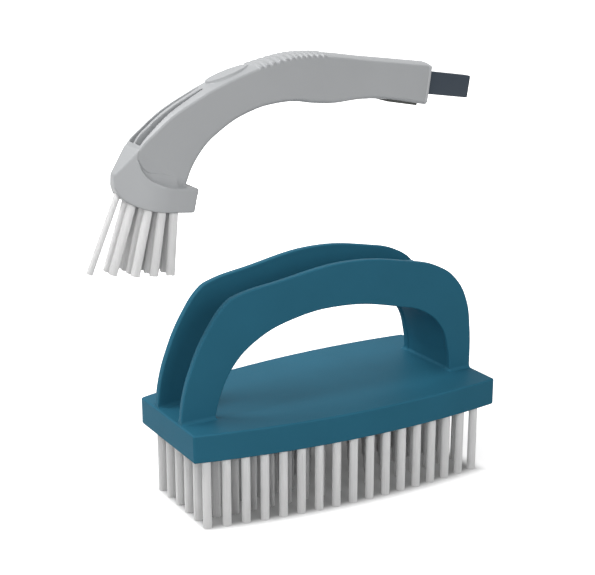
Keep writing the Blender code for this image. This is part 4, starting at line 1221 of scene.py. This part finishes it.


# %% [markdown]
# Three ramps over that distance shape the sheet: its colour turns from grey to pale at the outermost tufts,
# its added light comes up over the same few millimetres, and it grows again further out, where less light
# falls. The grey and the dim added light under the tufts are a painted shadow.

# %% The white sheet
# The grey is the sheet's colour for soft light and also the colour of the painted shadow under the tufts.
SHADOW_AND_BOUNCE_GREY, PALE_PAPER = "8C8C8C", "E8E8E8"
PAINTED_SHADOW_EDGE, GLOW_SHADOW_EDGE, GLOW_RISE = (-4 * MM, 3 * MM), (-3 * MM, 5 * MM), (60 * MM, 300 * MM)
GLOW_IN_PAINTED_SHADOW, GLOW_BESIDE, FAR_GAIN = 0.1, 0.65, 2


def white_sheet():
    material, tree, shader = fresh_material("white_paper")
    shader.inputs["Roughness"].default_value = 0.9
    shader.inputs["Specular IOR Level"].default_value = 0.1
    seen = is_seen(tree)
    away = outside_tufts(tree)
    # Seen from the camera, the sheet is grey under the tufts: a painted shadow.
    out_of_painted_shadow = maths(tree, "MULTIPLY", seen, ramp(tree, away, *PAINTED_SHADOW_EDGE, 0, 1))
    tree.links.new(tinted(tree, out_of_painted_shadow, SHADOW_AND_BOUNCE_GREY, PALE_PAPER), shader.inputs["Base Color"])
    shader.inputs["Emission Color"].default_value = (1, 1, 1, 1)
    # The added light is dim under the tufts, which paints their shadow there too.
    glow_by_painted_shadow = ramp(tree, away, *GLOW_SHADOW_EDGE, GLOW_IN_PAINTED_SHADOW, GLOW_BESIDE)
    glow = maths(tree, "MULTIPLY", glow_by_painted_shadow, ramp(tree, away, *GLOW_RISE, 1, FAR_GAIN))
    tree.links.new(maths(tree, "MULTIPLY", seen, glow), shader.inputs["Emission Strength"])
    return material


SHEET_HALF = 6
sheet = bmesh.new()
bmesh.ops.create_grid(sheet, x_segments=1, y_segments=1, size=SHEET_HALF)
floor = shaped("floor", sheet, white_sheet(), None)
print("a sheet of", 2 * SHEET_HALF, "by", 2 * SHEET_HALF, "m")

# %% [markdown]
# The sky is one even white. It lights the brushes weakly, so that the lamps shape them, and it is full
# white where it is seen.

# %% The sky
SOFT_SKY, SEEN_SKY = 0.17, 1.0
world = bpy.data.worlds.new("studio")
bpy.context.scene.world = world
world.use_nodes = True
sky = world.node_tree.nodes["Background"]
sky.inputs["Color"].default_value = (1, 1, 1, 1)
brightness = ramp(world.node_tree, is_seen(world.node_tree), 0, 1, SOFT_SKY, SEEN_SKY)
world.node_tree.links.new(brightness, sky.inputs["Strength"])
print("sky at", SOFT_SKY, "for soft light")

# %% [markdown]
# Four soft boxes light the set. One hangs over the back left, so the arm's ridge and the block's top are
# the brightest faces. The two in front fill the sides to about two thirds of that, while the inside of the
# grip stays dark. A weak one behind keeps the back readable when the camera is moved there, and it is left
# out of reflections, so that it lays no haze over the block's top.

# %% Lamps
def softbox(name, place, target, size, watts):
    lamp = bpy.data.lights.new(name, "AREA")
    lamp.shape = "SQUARE"
    lamp.size = size
    lamp.energy = watts
    holder = bpy.data.objects.new(name, lamp)
    bpy.context.scene.collection.objects.link(holder)
    holder.location = place
    holder.rotation_euler = (Vector(target) - Vector(place)).to_track_quat("-Z", "Y").to_euler()
    return holder


MIDDLE = (0, 0, 0.1)
softbox("overhead", (-0.65, 0.26, 1.2), (0, 0, 0.08), size=0.9, watts=16)
softbox("left_front", (-0.85, -1.0, 0.55), MIDDLE, size=0.6, watts=6.4)
softbox("front", (0.1, -1.35, 0.6), MIDDLE, size=0.6, watts=6)
softbox("behind", (0.1, 1.2, 0.9), MIDDLE, size=0.9, watts=5).visible_glossy = False
print("lamps:", [lamp.name for lamp in bpy.data.lights])

# %% [markdown]
# The camera stands where the photograph's did: low, to the left of the brush's front, and close, which is
# why the near corner of the block looks so much bigger than the far one. Its bearing, height and distance
# were found by fitting the block's edges.

# %% Camera
AZIMUTH = math.radians(-31.0)
ELEVATION = math.radians(17.06)
DISTANCE = 0.6737
SIDE_STEP = 0.0083
RISE = 0.0933
FOCAL_PIXELS = 1350
IMAGE_WIDTH = 595
SENSOR_WIDTH = 36

level = math.cos(ELEVATION)
back = Vector((math.sin(AZIMUTH) * level, -math.cos(AZIMUTH) * level, math.sin(ELEVATION)))
right = Vector((math.cos(AZIMUTH), math.sin(AZIMUTH), 0))
aim = Vector((block_x, 0, 0)) - right * SIDE_STEP + back.cross(right) * RISE
camera = bpy.data.objects.new("camera", bpy.data.cameras.new("camera"))
bpy.context.scene.collection.objects.link(camera)
camera.location = aim + back * DISTANCE
camera.rotation_euler = back.to_track_quat("Z", "Y").to_euler()
camera.data.sensor_width = SENSOR_WIDTH
camera.data.sensor_fit = "HORIZONTAL"
camera.data.lens = FOCAL_PIXELS / IMAGE_WIDTH * SENSOR_WIDTH
camera.data.clip_start = 0.01
bpy.context.scene.camera = camera
bpy.context.scene.view_settings.view_transform = "Standard"
print("lens", round(camera.data.lens, 1), "mm")

# %% [markdown]
# The cutters and boards in the workshop have done their work.

# %% Clear the workshop and finish
for tool in list(workshop.objects):
    bpy.data.objects.remove(tool)
bpy.data.collections.remove(workshop)
